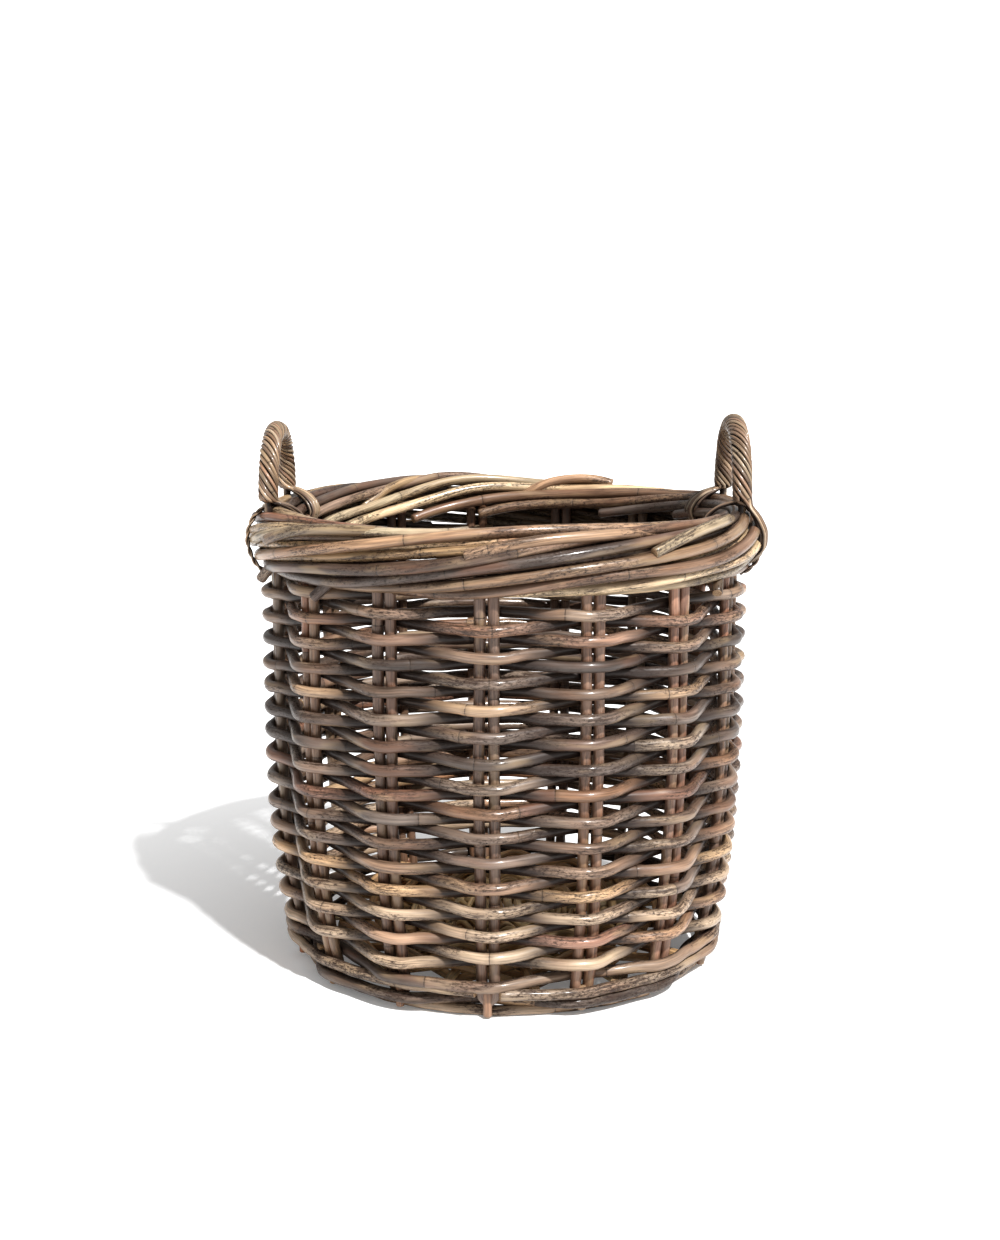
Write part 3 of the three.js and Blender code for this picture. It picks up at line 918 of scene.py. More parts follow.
@dataclass
class Stakes:
    """Double stakes: each cane is bent double at the foot, and a short peg stands beside it."""

    plan: Plan
    lean: float = 0.9
    peg_length: float = 22.0

    def pieces(self, rng: np.random.Generator) -> list[Piece]:
        """All the double stakes."""
        return [self._stake(index, rng) for index in range(self.plan.stake_count)]

    def _stake(self, index: int, rng: np.random.Generator) -> Piece:
        """One double stake with its peg.

        Args:
            index: which stake.
            rng: source of its lean and thickness.

        Returns:
            The piece.
        """
        plan = self.plan
        angle = plan.stake_angle(index)
        bend = plan.stake_bottom + plan.stake_cane / 2 + plan.pair_offset
        heights = np.linspace(bend, plan.stake_top, 24)
        legs = []
        for side in (-1, 1):
            radius = plan.wall(heights)
            sway = side * plan.pair_offset + self.lean * drift(heights, (380.0, 210.0), rng)
            legs.append(polar(angle + np.degrees(sway / radius), radius, heights))
        turn = np.radians([-60, -30, 0, 30, 60])
        radius = plan.wall(bend)
        foot = polar(
            angle + np.degrees(plan.pair_offset * np.sin(turn) / radius),
            radius,
            bend - plan.pair_offset * np.cos(turn),
        )
        path = np.vstack([legs[0][::-1], foot, legs[1]])
        hairpin = wall_cane(path, 2.0, plan.stake_cane * rng.uniform(0.95, 1.04), STAKE, hollow_from=70.0)
        name = f"stake_{index + 1:02d}"
        return Piece(f"double_{name}", name, STAKE, [hairpin, self._peg(angle, rng)])

    def _peg(self, angle: float, rng: np.random.Generator) -> Cane:
        """The end of a cane that shows low on the foot, outside the hoop.

        Args:
            angle: the stake's angle.
            rng: source of its place.

        Returns:
            The cane.
        """
        plan = self.plan
        height = np.linspace(rng.uniform(2.0, 5.5), self.peg_length + 6, 8)
        radius = plan.foot_radius + plan.cane * 0.62 + 2.0 + 0.06 * (height - 10)
        side = rng.uniform(-0.4, 0.9)
        return wall_cane(polar(angle + side, radius, height), 2.0, 8.6, STAKE, hollow_from=80.0, step=3.0)


@dataclass
class Weave:
    """The wall: long rods that go outside one pair of stakes and inside the next."""

    plan: Plan
    rods: int = 10
    passes: int = 44
    row_pitch: float = 11.8
    sag: float = 1.5
    settle: float = 0.8
    softness: float = 6.5
    own_share: float = 0.55

    def pieces(self, rng: np.random.Generator) -> list[Piece]:
        """All the rods, from the foot up."""
        made = []
        for index in range(self.rods):
            finish = GREY_WEAVER if index % 2 else BROWN_WEAVER
            first, half = index * self.passes + 1, self.passes // 2
            canes = [
                self._rod(start, half, GREY_WEAVER if rng.random() < 0.5 else BROWN_WEAVER, rng)
                for start in (first, first + half)
            ]
            for cane in canes:
                cane.finish = finish if rng.random() < self.own_share else cane.finish
            name = f"weaver_{index + 1:02d}"
            made.append(Piece(f"wall_{name}", name, finish, canes))
        return made

    def _rod(self, first: int, passes: int, finish: CaneFinish, rng: np.random.Generator) -> Cane:
        """One rod: outside a pair it lies flat across both canes, inside it touches between them.

        Args:
            first: number of its first pass, counted from the foot of the wall.
            passes: how many passes it makes.
            finish: its looks.
            rng: source of its waver.

        Returns:
            The cane.
        """
        plan = self.plan
        number = np.arange(first, first + passes + 1)
        angle = plan.stake_angle(number + (plan.stake_count + 1) / 2)
        base = plan.weave_bottom + self.sag + plan.cane / 2 - self.settle
        height = base + self.row_pitch * (number - 1) / plan.stake_count
        height = height + plan.unevenness(angle, height) + rng.normal(0, 0.35, len(number))
        outside = number % 2 == 0
        offset = plan.weave_offset + rng.uniform(-0.1, 0.8, len(number))
        radius = plan.wall(height) + np.where(outside, offset, -offset)
        rise = np.where(outside, -self.sag, self.sag) + rng.normal(0, 0.3, len(number))
        angles, keep = plan.passes(angle, radius, outside)
        points = plan.draw_in(polar(angles, np.repeat(radius, 2), np.repeat(height + rise, 2))[keep])
        cane = wall_cane(points, self.softness, plan.cane * rng.uniform(1.01, 1.12), finish, hollow_from=65.0)
        # Painted shade: outside passes are shaded on their inner side, inside passes on their outer side
        past = np.hypot(cane.path[:, 0], cane.path[:, 1]) - plan.wall(cane.path[:, 2])
        cane.exposed = np.clip(past / plan.weave_offset, -1, 1)
        return cane


@dataclass
class Foot:
    """The foot: a hoop on the floor, two waling rods that clamp the base, and a binder round them."""

    plan: Plan
    stroke: int = 3
    softness: float = 8.0
    lap_from: float = 37.0
    lap_by: float = 364.0
    lap_spread: tuple[float, float] = (-3.5, 4.5)
    lift: float = 0.9
    binder_climb: float = 3.6

    def pieces(self, rng: np.random.Generator) -> list[Piece]:
        """Hoop, waling rods and binder."""
        made = [Piece("foot_ring", "foot_hoop", FOOT, [self._hoop(rng)])]
        for name, shift in (("foot_wale_lower", 0), ("foot_wale_upper", 1)):
            low, high = span(name)
            made.append(Piece(f"rod_{name}", name, FOOT, [self._wale((low[2] + high[2]) / 2, shift, rng)]))
        low, high = span("foot_binder")
        binder = self._binder((low[2] + high[2]) / 2, rng)
        made.append(Piece("rod_foot_binder", "foot_binder", FOOT, [binder]))
        return made

    def _hoop(self, rng: np.random.Generator) -> Cane:
        """A cane bent to a ring whose ends pass each other, rising and dipping as it goes."""
        plan = self.plan
        start, end = self.lap_from, self.lap_from + self.lap_by
        angle = np.linspace(start, end, 150)
        radius = plan.foot_radius + 1.6 * drift(angle, (180.0, 97.0), rng)
        inner, outer = self.lap_spread
        radius += np.interp(angle, [start, start + 23, end - 31, end], [inner, 0, 0, outer])
        height = plan.hoop_height / 2 + self.lift + 0.4 * drift(angle, (120.0, 51.0), rng)
        return wall_cane(polar(angle, radius, height), 4.0, plan.hoop_height * 1.02, FOOT, hollow_from=80.0)

    def _binder(self, height: float, rng: np.random.Generator) -> Cane:
        """A thick rod round the outside of all the stakes, which climbs and dips as it goes.

        Args:
            height: its middle height.
            rng: source of its waver.

        Returns:
            The cane.
        """
        plan = self.plan
        stake = plan.stake_angle(np.arange(plan.stake_count + 1))
        half = float(np.degrees((plan.pair_offset + plan.flat) / plan.wall(height)))
        angle = (stake[:, None] + np.array([-half, half])).ravel()
        angle[[0, -1]] += np.array([1, -1]) * (2 * half + 0.3)
        rise = height + self.binder_climb * np.sin(np.radians(2 * angle + 150))
        rise += 1.5 * drift(angle, (97.0, 61.0), rng)
        radius = plan.wall(height) + plan.weave_offset + 0.8 + 1.2 * drift(angle, (140.0, 75.0), rng)
        return wall_cane(polar(angle, radius, rise), self.softness, plan.cane * 1.06, FOOT, hollow_from=75.0)

    def _wale(self, height: float, shift: int, rng: np.random.Generator) -> Cane:
        """A rod that goes outside two stakes and inside the third.

        Args:
            height: its middle height.
            shift: which stake it first goes inside.
            rng: source of its waver.

        Returns:
            The cane.
        """
        plan = self.plan
        number = np.arange(plan.stake_count + 1)
        angle = plan.stake_angle(number + shift)
        outside = number % self.stroke != 0
        radius = plan.wall(height) + np.where(outside, 1, -1) * (plan.weave_offset + 0.4)
        angles, keep = plan.passes(angle, radius, outside)
        rise = height + 1.4 * drift(angles, (150.0, 83.0), rng) - np.repeat(outside, 2) * 0.8
        points = plan.draw_in(polar(angles, np.repeat(radius, 2), rise)[keep])
        return wall_cane(points, self.softness, plan.cane * rng.uniform(1.06, 1.14), FOOT, hollow_from=70.0)


@dataclass
class Base:
    """The base: four sticks across four, opened out to a fan, with rods woven round."""

    plan: Plan
    sticks: int = 4
    stick_cane: float = 9.4
    pitch: float = 10.2
    cross_half: float = 24.0
    fan_radius: float = 56.0
    first_bay: int = 2
    cross_bay: float = 4.2
    rod_cane: float = 9.4
    rod_pitch: float = 12.0
    inner_radius: float = 80.0
    passes: int = 64
    rods: int = 2
    heart_radius: float = 45.0
    heart_pitch: float = 6.4
    heart_cane: float = 5.6
    tip_inset: float = 3.0
    layer_gap: float = 0.3
    rod_gap: float = 1.2

    def __post_init__(self) -> None:
        """Reads the base's height."""
        lower, upper = (numbered(f"base_stick_{word}", self.sticks) for word in ("lower", "upper"))
        low, high = span(*lower, *upper)
        self.height = float((low[2] + high[2]) / 2)

    def _end_angle(self, end: int) -> float:
        """Angle at which a stick's end passes between the stakes; the last bay takes two."""
        last = self.plan.stake_count - 1
        middle = self.plan.stake_angle(min(end, last) + self.first_bay + 0.5)
        share = arc(self.pitch / 2, self.plan.foot_radius)
        return middle if end < last else middle + (-share if end == last else share)

    def _half_stick(self, end: int) -> Array:
        """Corners of a stick from the cross to one of its ends.

        Args:
            end: the end's number, counted round the base.

        Returns:
            Three points: at the cross, where the fan opens, and the tip.
        """
        quarter, place = divmod(end, self.sticks)
        layer = 1 if quarter % 2 else -1
        outward_angle = self.plan.stake_angle(self.cross_bay) + quarter * 90
        along, across = polar(outward_angle, 1, 0), polar(outward_angle + 90, 1, 0)
        start = along * self.cross_half + across * (place - (self.sticks - 1) / 2) * self.pitch
        tip = polar(self._end_angle(end), self.plan.wall(self.height) - self.tip_inset, 0)
        bend = start + unit(tip - start) * (self.fan_radius - self.cross_half)
        start[2] = self.height + layer * (self.stick_cane + self.layer_gap) / 2
        bend[2] = tip[2] = self.height
        return np.array([start, bend, tip])

    def _stick_angle(self, end: int, radius: float) -> float:
        """Angle of a fanned stick at a radius."""
        _, bend, tip = self._half_stick(end)
        inner, outer = np.hypot(*bend[:2]), np.hypot(*tip[:2])
        point = bend + (tip - bend) * (radius - inner) / (outer - inner)
        return float(np.degrees(np.arctan2(point[0], -point[1])))

    def pieces(self, rng: np.random.Generator) -> list[Piece]:
        """Sticks and rods of the base."""
        made = []
        for layer, word in enumerate(("lower", "upper")):
            for place in range(self.sticks):
                near = self._half_stick(layer * self.sticks + place)
                far = self._half_stick((layer + 2) * self.sticks + self.sticks - 1 - place)
                path = ease(np.vstack([near[::-1], far]), 6.0)
                down = np.tile([0.0, 0.0, -1.0], (len(path), 1))
                cane = Cane(path, down, self.stick_cane * rng.uniform(0.95, 1.02), BASE, hollow_from=90.0)
                name = f"base_stick_{word}_{place + 1:02d}"
                made.append(Piece(f"fanned_{name}", name, BASE, [cane]))
        for index in range(self.rods):
            name = f"base_weaver_{index + 1:02d}"
            start = self.inner_radius + self.rod_pitch * index * self.passes / self.plan.stake_count
            canes = [self._rod(index * self.passes, self.passes, start, self.rod_pitch, self.rod_cane, rng)]
            if index == 0:
                turns = (self.inner_radius - self.heart_radius - self.rod_cane / 2) / self.heart_pitch
                passes = int(turns * self.plan.stake_count)
                canes.append(self._rod(0, passes, self.heart_radius, self.heart_pitch, self.heart_cane, rng))
            made.append(Piece(f"woven_{name}", name, BASE, canes))
        return made

    def _rod(
        self, first: int, passes: int, start: float, pitch: float, diameter: float, rng: np.random.Generator
    ) -> Cane:
        """One base rod: over one stick and under the next on a slow spiral.

        Args:
            first: number of its first stick, counted round and round.
            passes: how many sticks it passes.
            start: radius at which it starts.
            pitch: how far it moves out in one turn.
            diameter: its thickness.
            rng: source of its waver.

        Returns:
            The cane.
        """
        doubled = self.plan.stake_count - 1
        wave = (self.stick_cane + diameter) / 2 + self.rod_gap
        rows = []
        for number in range(first, first + passes + 1):
            radius = start + pitch * (number - first) / self.plan.stake_count
            end = number % self.plan.stake_count
            height = self.height + (1 if number % 2 else -1) * wave
            angles = [self._stick_angle(end, radius)]
            if end == doubled:
                middle = (angles[0] + self._stick_angle(end + 1, radius)) / 2
                half = arc(self.pitch / 2 + 2, radius)
                angles = [middle - half, middle + half]
            rows += [(angle, radius, height) for angle in angles]
        table = np.array(rows)
        table[:, 1] += rng.normal(0, 0.05 * diameter, len(table))
        path = ease(polar(*table.T), 0.5 * diameter)
        up = np.tile([0.0, 0.0, 1.0], (len(path), 1))
        return Cane(path, up, diameter, BASE, sides=10, step=3.5, hollow_from=100.0)


@dataclass
class Border:
    """The border: a cane from each pair of stakes lies round a hollow roll, from low outside,
    over the crest, to the inside, where its cut end shows.

    A hump is an angle round the basket, half its width in degrees and its rise in millimetres. A
    stray is a border cane's number from 0, the angle and roll angle of its cut end, and those of
    its other end. A stub is a border cane's number, its angle and its roll angle.
    """

    plan: Plan
    cane: float = 10.4
    cad_cane: float = 9.4
    start_turn: float = 9.0
    roll_from: float = -50.0
    roll_by: float = 245.0
    reach: float = 8.5
    tall: float = 1.21
    drop: float = 9.0
    lay_gap: float = 0.5
    # How open the border canes' backs are: it weakens the painted shade there
    exposed: float = 0.75
    under_depth: float = 5.5
    humps: tuple[tuple[float, float, float], ...] = (
        (196.0, 20.0, 8.0),
        (228.0, 14.0, 4.0),
        (128.0, 16.0, -2.0),
    )
    strays: tuple[tuple[int, float, float, float, float], ...] = (
        (2, 30.5, 12.0, 68.0, 84.0),
        (7, -60.0, 12.0, -20.0, 84.0),
        (12, -8.0, 16.0, 36.0, 76.0),
        (9, 150.0, 60.0, 176.0, 150.0),
        (5, 196.0, 66.0, 226.0, 158.0),
    )
    stubs: tuple[tuple[int, float, float], ...] = (
        (13, -70.0, -62.0),
        (14, -41.0, -66.0),
        (4, 58.0, -64.0),
    )

    def __post_init__(self) -> None:
        """Reads the roll's size and place from the border's box."""
        self.rate = self.roll_by / (self.plan.step * self.reach)
        crest = self.plan.border_high - self.cad_cane / 2
        self.half_width = (self.cad_cane + self.lay_gap) / np.radians(self.plan.step * self.rate)
        self.half_height = self.half_width * self.tall
        self.radius = self.plan.border_radius - self.cad_cane / 2 - self.half_width
        self.height = crest - self.half_height

    def roll(self, angle: Array, rolled: Array, lift: Array | float = 0.0) -> Array:
        """Points on the roll: an ellipse carried round the rim; 0 is outside and 90 on top.

        Args:
            angle: place round the basket.
            rolled: place round the roll.
            lift: distance above its surface.

        Returns:
            The points.
        """
        turn = np.radians(rolled)
        radius = self.radius + (self.half_width + lift) * np.cos(turn)
        tall = self.half_height + lift + self.drop * np.clip(-np.sin(turn), 0, 1)
        return polar(angle, radius, self.height + tall * np.sin(turn))

    def pieces(self, rng: np.random.Generator) -> list[Piece]:
        """The border canes."""
        made = []
        for index in range(self.plan.stake_count):
            name = f"border_cane_{index + 1:02d}"
            canes = [self._cane(index, rng), self._under(index, rng)]
            canes += [self._stray(*place, rng) for piece, *place in self.strays if piece == index]
            canes += [self._stub(*place) for piece, *place in self.stubs if piece == index]
            made.append(Piece(f"rim_{name}", name, BORDER, canes))
        return made

    def _under(self, index: int, rng: np.random.Generator) -> Cane:
        """A cane of the lower layer, half way between two of the upper ones.

        Args:
            index: which pair of stakes it comes from.
            rng: source of its waver.

        Returns:
            The cane.
        """
        start = self.plan.stake_angle(index) + self.start_turn + self.plan.step / 2
        rolled = np.arange(self.roll_from - 10, self.roll_from + self.roll_by - rng.uniform(75, 100), 3.0)
        angle = start + (rolled - self.roll_from) / self.rate
        lift = 1.2 * drift(angle, (70.0, 41.0), rng) - self.under_depth
        places = rolled + 5.0 * drift(angle, (90.0, 55.0), rng)
        return self._laid(angle, places, lift, self.cane * rng.uniform(0.9, 1.0))

    def _laid(self, angle: Array, rolled: Array, lift: Array, diameter: float) -> Cane:
        """A cane through places on the roll, whose side without painted shade faces away from the roll's
        middle.
        """
        path = ease(self.roll(angle, rolled, lift), 5.0)
        middle = polar(np.degrees(np.arctan2(path[:, 0], -path[:, 1])), self.radius, self.height)
        cane = Cane(path, unit(path - middle), diameter, BORDER, sides=14, hollow_from=62.0, node_gap=210.0)
        # Painted shade on the back of the cane, kept lighter by exposed
        cane.exposed = np.full(len(path), self.exposed)
        return cane

    def _stray(self, first: float, low: float, last: float, high: float, rng: np.random.Generator) -> Cane:
        """A length of cane that was tucked in last and crosses over the others, its cut end showing.

        Args:
            first: angle of its cut end.
            low: roll angle of that end.
            last: angle of its other end.
            high: roll angle of that one.
            rng: source of its thickness.

        Returns:
            The cane.
        """
        share = np.linspace(0, 1, 24)
        rolled = low + (high - low) * share + 5 * np.sin(2 * np.pi * share)
        lift = 4.0 + 4.5 * np.sin(np.pi * share) + 3.0 * (1 - share) ** 3 - 9.0 * share**4
        return self._laid(first + (last - first) * share, rolled, lift, self.cane * rng.uniform(0.95, 1.02))

    def _stub(self, angle: float, rolled: float) -> Cane:
        """The cut end of a cane that pokes out from under the border.

        Args:
            angle: its place round the basket.
            rolled: its place round the roll.

        Returns:
            The cane.
        """
        share = np.linspace(0, 1, 8)
        return self._laid(angle - 5 * share, np.full(8, rolled), -9.0 + 23.0 * share, self.cane * 0.98)

    def _cane(self, index: int, rng: np.random.Generator) -> Cane:
        """One border cane: it comes out from under its neighbour, climbs, crosses the crest and
        goes down inside.

        Args:
            index: which pair of stakes it comes from.
            rng: source of its waver.

        Returns:
            The cane.
        """
        start = self.plan.stake_angle(index) + self.start_turn
        end = self.roll_from + self.roll_by + rng.uniform(-24, 6)
        rolled = np.arange(self.roll_from - 45, end, 3.0)
        angle = start + (rolled - self.roll_from) / self.rate
        under = np.clip((self.roll_from + 8 - rolled) / 45, 0, 1)
        turn = np.radians(angle)
        crest = np.clip(np.sin(np.radians(rolled)), 0, 1)
        waver = 4.0 * np.sin(3 * turn + 1.1) + 3.5 * np.sin(5 * turn + np.radians(rolled) * 0.5)
        stray = rng.uniform(0.4, 1) * rng.choice([-1, 1])
        stray = stray * np.sin(np.pi * np.clip((rolled - rng.uniform(-50, -10)) / 110, 0, 1)) ** 2
        lift = 1.0 * drift(angle, (70.0, 41.0), rng) + 0.6 - 7.0 * under + 4.5 * abs(stray)
        lift += 1.6 * np.sin(4 * turn + 0.4) * crest
        for middle, width, rise in self.humps:
            away = (angle - middle + 180) % 360 - 180
            lift += rise * np.exp(-((away / width) ** 2)) * crest
        last = np.clip((rolled - rolled[-1] + 24) / 24, 0, 1)
        lift += rng.uniform(2.0, 7.0) * last**1.5
        places = rolled + waver + 17.0 * stray + 4.0 * drift(angle, (90.0, 55.0), rng)
        return self._laid(angle, places, lift, self.cane * rng.uniform(0.96, 1.08))


@dataclass
class Handle:
    """A roped bow handle: a core in the border, strands wound round it, and their ends lashed
    down the border.

    The tails field holds, for the front and the rear leg, the sides that the strands' ends go
    down in turn.
    """

    plan: Plan
    border: Border
    word: str
    tails: tuple[tuple[Side, ...], tuple[Side, ...]]
    strands: int = 10
    strand: float = 4.1
    core: float = 7.6
    turns: float = 3.1
    spring: float = 8.0
    rope_gap: float = 2.2
    screw_above: float = 9.0
    lash_turn: float = 22.0
    lash_cane: float = 2.5

    def __post_init__(self) -> None:
        """Reads the bow from the core's box."""
        low, high = span(f"handle_{self.word}_core")
        self.sign = -1.0 if self.word == "left" else 1.0
        self.x = float((low[0] + high[0]) / 2)
        self.feet = np.array([low[1], high[1]]) + np.array([1, -1]) * self.core / 2
        self.bottom, self.top = float(low[2]), float(high[2]) - self.core / 2
        self.crest = self.plan.border_high

    def _bow(self, depth: float, count: int) -> Array:
        """Middle line of the bow: up one leg, half an ellipse over, and down the other.

        Args:
            depth: how far the legs go below the crest.
            count: points in the half ellipse.

        Returns:
            The points.
        """
        middle, half = self.feet.mean(), np.ptp(self.feet) / 2
        spring = self.crest + self.spring
        turn = np.linspace(np.pi, 0, count)
        bow = np.column_stack(
            [
                np.full(count, self.x),
                middle + half * np.cos(turn),
                spring + (self.top - spring) * np.sin(turn) ** 0.9,
            ]
        )
        legs = [[self.x, foot, self.crest - depth] for foot in self.feet]
        return np.vstack([legs[0], bow, legs[1]])

    def pieces(self, rng: np.random.Generator) -> list[Piece]:
        """Core and the two bundles of strands."""
        path = ease(self._bow(self.crest - self.bottom, 40), 3.0)
        out = np.tile([self.sign, 0.0, 0.0], (len(path), 1))
        name = f"handle_{self.word}_core"
        made = [Piece(f"bow_{name}", name, HANDLE, [Cane(path, out, self.core, HANDLE)])]
        strands = [self._strand(number, rng) for number in range(self.strands)]
        lashing = self._lashing(rng)
        for bundle in (0, 1):
            name = f"handle_{self.word}_wrap_{bundle + 1}"
            canes = strands[bundle :: 2] + lashing[bundle :: 2]
            made.append(Piece(f"rope_{name}", name, HANDLE, canes))
        return made

    def _strand(self, number: int, rng: np.random.Generator) -> Cane:
        """One strand: it winds round the core as a left-hand screw, and its two ends run on down
        the border beside their neighbours.

        Args:
            number: which strand.
            rng: source of its waver.

        Returns:
            The cane.
        """
        line = ease(self._bow(-self.screw_above, 60), 4.0, 2.0)
        tangent = unit(np.gradient(line, axis=0))
        out = np.tile([self.sign, 0.0, 0.0], (len(line), 1))
        across = np.cross(tangent, out)
        share = np.linspace(0, 1, len(line))
        orbit = (self.core + self.strand) / 2 + self.rope_gap + 0.25 * drift(share, (0.5, 0.23), rng)
        turn = 2 * np.pi * (number / self.strands - self.turns * share)
        turn += 0.07 * drift(share, (0.6, 0.31), rng)
        away = np.cos(turn)[:, None] * out + np.sin(turn)[:, None] * across
        screw = line + orbit[:, None] * away
        parts, sides = [], []
        for end, ways in enumerate(self.tails):
            tail, facing = self._tail(end, number, ways[number % len(ways)], rng)
            parts.append(tail if end else tail[::-1])
            sides.append(facing if end else facing[::-1])
        path = np.vstack([parts[0], screw, parts[1]])
        facing = np.vstack([sides[0], away, sides[1]])
        eased = ease(np.hstack([path, facing]), 3.2, 1.2)
        return Cane(
            eased[:, :3],
            unit(eased[:, 3:]),
            self.strand * rng.uniform(0.93, 1.05),
            HANDLE,
            sides=9,
            step=2.6,
            node_gap=150.0,
            hollow_from=32.0,
        )

    def _tail(self, end: int, number: int, way: Side, rng: np.random.Generator) -> tuple[Array, Array]:
        """A strand's end: over the border to one side and tucked under it.

        Args:
            end: 0 for the front leg, 1 for the rear one.
            number: which strand.
            way: the side that it goes down.
            rng: source of its waver.

        Returns:
            The points from the leg down, and the directions away from the roll.
        """
        border = self.border
        angle = float(np.degrees(np.arctan2(self.x, -self.feet[end])))
        lane = number // 2 - (self.strands // 2 - 1) / 2
        layer = number % 2
        inward = way is Side.INSIDE
        ahead = 1 if (end == 0) == inward else -1
        if inward:
            rolled, pull = np.array([89.0, 116, 137, 157, 176]), 9.0 * np.linspace(0, 1, 5)
        else:
            rolled, pull = np.array([60.0, 38, 12, -14, -44]), 14.0 * np.linspace(0, 1, 5) ** 2
        side = lane * self.strand * np.array([0.7, 0.9, 1, 1, 1]) + ahead * self.sign * pull
        side = arc(1.0, border.radius) * (side + rng.normal(0, 0.4))
        lift = (border.cane + self.strand) / 2 + np.array([4.6, 1.6, 1.0, 0.6, -6.0])
        lift = lift + layer * self.strand * 0.8 * np.array([0, 0.6, 1, 1, 0.5])
        points = border.roll(angle - self.sign * side, rolled, lift)
        middle = polar(angle - self.sign * side, border.radius, border.height)
        return points, unit(points - middle)

    def _lashing(self, rng: np.random.Generator) -> list[Cane]:
        """Two thin strands twisted together that tie the outer side of the front leg down."""
        border = self.border
        angle = float(np.degrees(np.arctan2(self.x, -self.feet[0])))
        rolled = np.array([100.0, 78, 55, 30, 0, -30, -55, -75])
        lift = (border.cane + self.strand) / 2 + np.array([3.0, 2.5, 2.0, 2.0, 2.2, 1.5, 0, -3])
        line = ease(border.roll(angle + self.sign * 2.0, rolled, lift), 5.0, 1.5)
        middle = polar(np.degrees(np.arctan2(line[:, 0], -line[:, 1])), border.radius, border.height)
        away = unit(line - middle)
        across = np.cross(unit(np.gradient(line, axis=0)), away)
        along = run_along(line)
        made = []
        for half in (0, 1):
            turn = (2 * np.pi * along / self.lash_turn + half * np.pi)[:, None]
            path = line + self.lash_cane / 2 * (np.cos(turn) * away + np.sin(turn) * across)
            thick = self.lash_cane * rng.uniform(0.95, 1.05)
            made.append(Cane(path, away, thick, HANDLE, sides=8, step=2.5, hollow_from=70.0))
        return made


# ---------------------------------------------------------------------------- setting


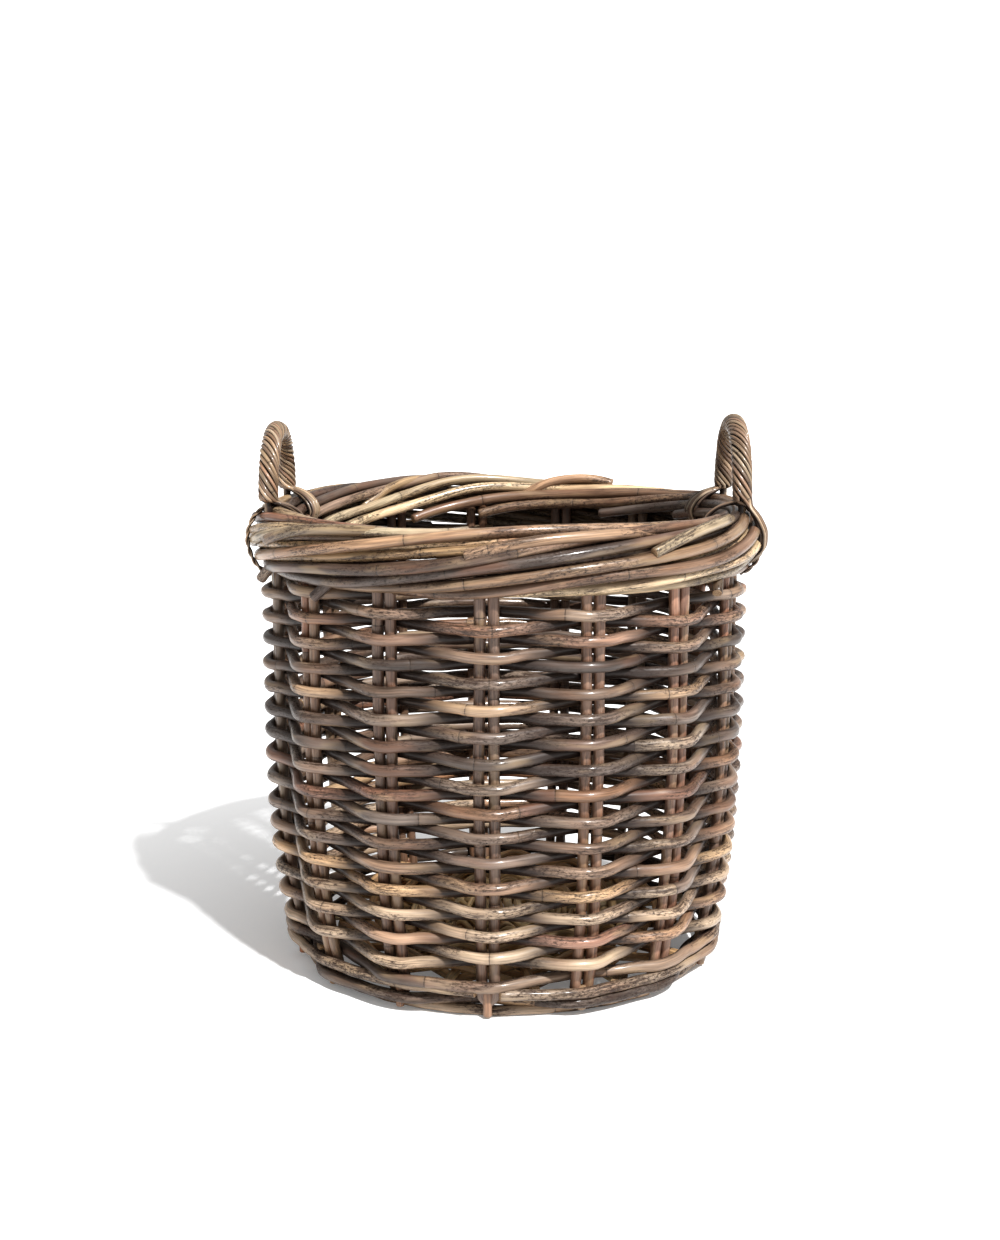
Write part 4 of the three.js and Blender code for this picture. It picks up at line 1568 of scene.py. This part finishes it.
@dataclass
class Studio:
    """Pale floor, soft light and the camera, in metres, degrees and watts per square metre.

    The floor glows with painted light that only the camera sees, by the lift, which grows over lift_reach; so
    its shadows look lighter.
    """

    camera_place: tuple[float, float, float] = (-0.005, -1.7, 0.64)
    pitch: float = 10.0
    lens: float = 60.84
    light_from: tuple[float, float, float] = (0.345, -0.55, 0.761)
    sun: float = 4.3
    sun_angle: float = 3.0
    sky: float = 0.38
    lift: tuple[float, float] = (0.14, 0.36)
    lift_reach: tuple[float, float] = (0.2, 0.62)
    floor_half: float = 12.0
    backdrop: float = 1.05

    def build(self) -> None:
        """Makes all of it."""
        self._floor()
        self._sky()
        self._sun()
        self._camera()
        bpy.context.scene.view_settings.view_transform = "Standard"
        bpy.context.scene.view_settings.look = "Medium High Contrast"

    def _floor(self) -> None:
        """A plain white floor that is clear from below; to the camera alone it glows with painted light, so
        its shadows look lighter.
        """
        reach = self.floor_half
        mesh = bpy.data.meshes.new("floor")
        corners = [(-reach, -reach, 0), (reach, -reach, 0), (reach, reach, 0), (-reach, reach, 0)]
        mesh.from_pydata(corners, [], [(0, 1, 2, 3)])
        made = bpy.data.materials.new("pale_floor")
        made.use_nodes = True
        shader = made.node_tree.nodes["Principled BSDF"]
        shader.inputs["Base Color"].default_value = (0.9, 0.9, 0.9, 1)
        shader.inputs["Roughness"].default_value = 1.0
        shader.inputs["Specular IOR Level"].default_value = 0.0
        shader.inputs["Emission Color"].default_value = (1, 1, 1, 1)
        tree = made.node_tree
        # Painted light: emission seen by camera rays only, growing away from the middle, lightens the floor's
        # shadows
        path = add_node(tree, "ShaderNodeLightPath")
        place = add_node(tree, "ShaderNodeNewGeometry")
        away = add_node(tree, "ShaderNodeVectorMath", operation="LENGTH")
        fade = add_node(tree, "ShaderNodeMapRange")
        for socket, value in zip(("From Min", "From Max", "To Min", "To Max"), self.lift_reach + self.lift):
            fade.inputs[socket].default_value = value
        glow = add_node(tree, "ShaderNodeMath", operation="MULTIPLY")
        tree.links.new(place.outputs["Position"], away.inputs[0])
        tree.links.new(away.outputs["Value"], fade.inputs["Value"])
        tree.links.new(fade.outputs["Result"], glow.inputs[0])
        tree.links.new(path.outputs["Is Camera Ray"], glow.inputs[1])
        tree.links.new(glow.outputs[0], shader.inputs["Emission Strength"])
        clear = add_node(tree, "ShaderNodeBsdfTransparent")
        sided = add_node(tree, "ShaderNodeMixShader")
        tree.links.new(place.outputs["Backfacing"], sided.inputs[0])
        tree.links.new(shader.outputs[0], sided.inputs[1])
        tree.links.new(clear.outputs[0], sided.inputs[2])
        tree.links.new(sided.outputs[0], tree.nodes["Material Output"].inputs["Surface"])
        mesh.materials.append(made)
        floor = bpy.data.objects.new("floor", mesh)
        bpy.context.scene.collection.objects.link(floor)

    def _sky(self) -> None:
        """Even white light from all round, which the camera sees as pure white."""
        world = bpy.data.worlds.new("studio")
        world.use_nodes = True
        tree = world.node_tree
        ground = tree.nodes["Background"]
        path = add_node(tree, "ShaderNodeLightPath")
        level = add_node(tree, "ShaderNodeMapRange")
        level.inputs["To Min"].default_value = self.sky
        level.inputs["To Max"].default_value = self.backdrop
        tree.links.new(path.outputs["Is Camera Ray"], level.inputs["Value"])
        tree.links.new(level.outputs["Result"], ground.inputs["Strength"])
        ground.inputs["Color"].default_value = (1, 1, 1, 1)
        bpy.context.scene.world = world

    def _sun(self) -> None:
        """The key light, from the front right and above."""
        lamp = bpy.data.lights.new("key", "SUN")
        lamp.energy = self.sun
        lamp.angle = float(np.radians(self.sun_angle))
        key = bpy.data.objects.new("key", lamp)
        x, y, z = self.light_from
        key.rotation_euler = (float(np.arccos(z)), 0.0, float(np.arctan2(y, x) + np.pi / 2))
        bpy.context.scene.collection.objects.link(key)

    def _camera(self) -> None:
        """The camera, level from side to side and tipped down a little."""
        lens = bpy.data.cameras.new("camera")
        lens.sensor_fit = "HORIZONTAL"
        lens.sensor_width = 36.0
        lens.lens = self.lens
        camera = bpy.data.objects.new("camera", lens)
        camera.location = self.camera_place
        camera.rotation_euler = (float(np.radians(90 - self.pitch)), 0.0, 0.0)
        bpy.context.scene.collection.objects.link(camera)
        bpy.context.scene.camera = camera


def main() -> None:
    """Builds the basket from the foot up, then the studio."""
    logging.basicConfig(level=logging.INFO, format="%(message)s")
    skin = Skin()
    finishes = (GREY_WEAVER, BROWN_WEAVER, STAKE, BORDER, BASE, FOOT, HANDLE)
    materials = {finish.name: finish.material(skin) for finish in finishes}
    plan = Plan()
    border = Border(plan)
    inside, outside = Side.INSIDE, Side.OUTSIDE
    parts = (
        Foot(plan),
        Base(plan),
        Stakes(plan),
        Weave(plan),
        border,
        Handle(plan, border, "left", ((inside,), (inside,))),
        Handle(plan, border, "right", ((outside, outside, outside, inside), (inside,))),
    )
    for seed, part in enumerate(parts):
        rng = np.random.default_rng(100 + seed)
        for piece in part.pieces(rng):
            piece.build(rng, materials)
    Studio().build()


if __name__ == "__main__":
    main()
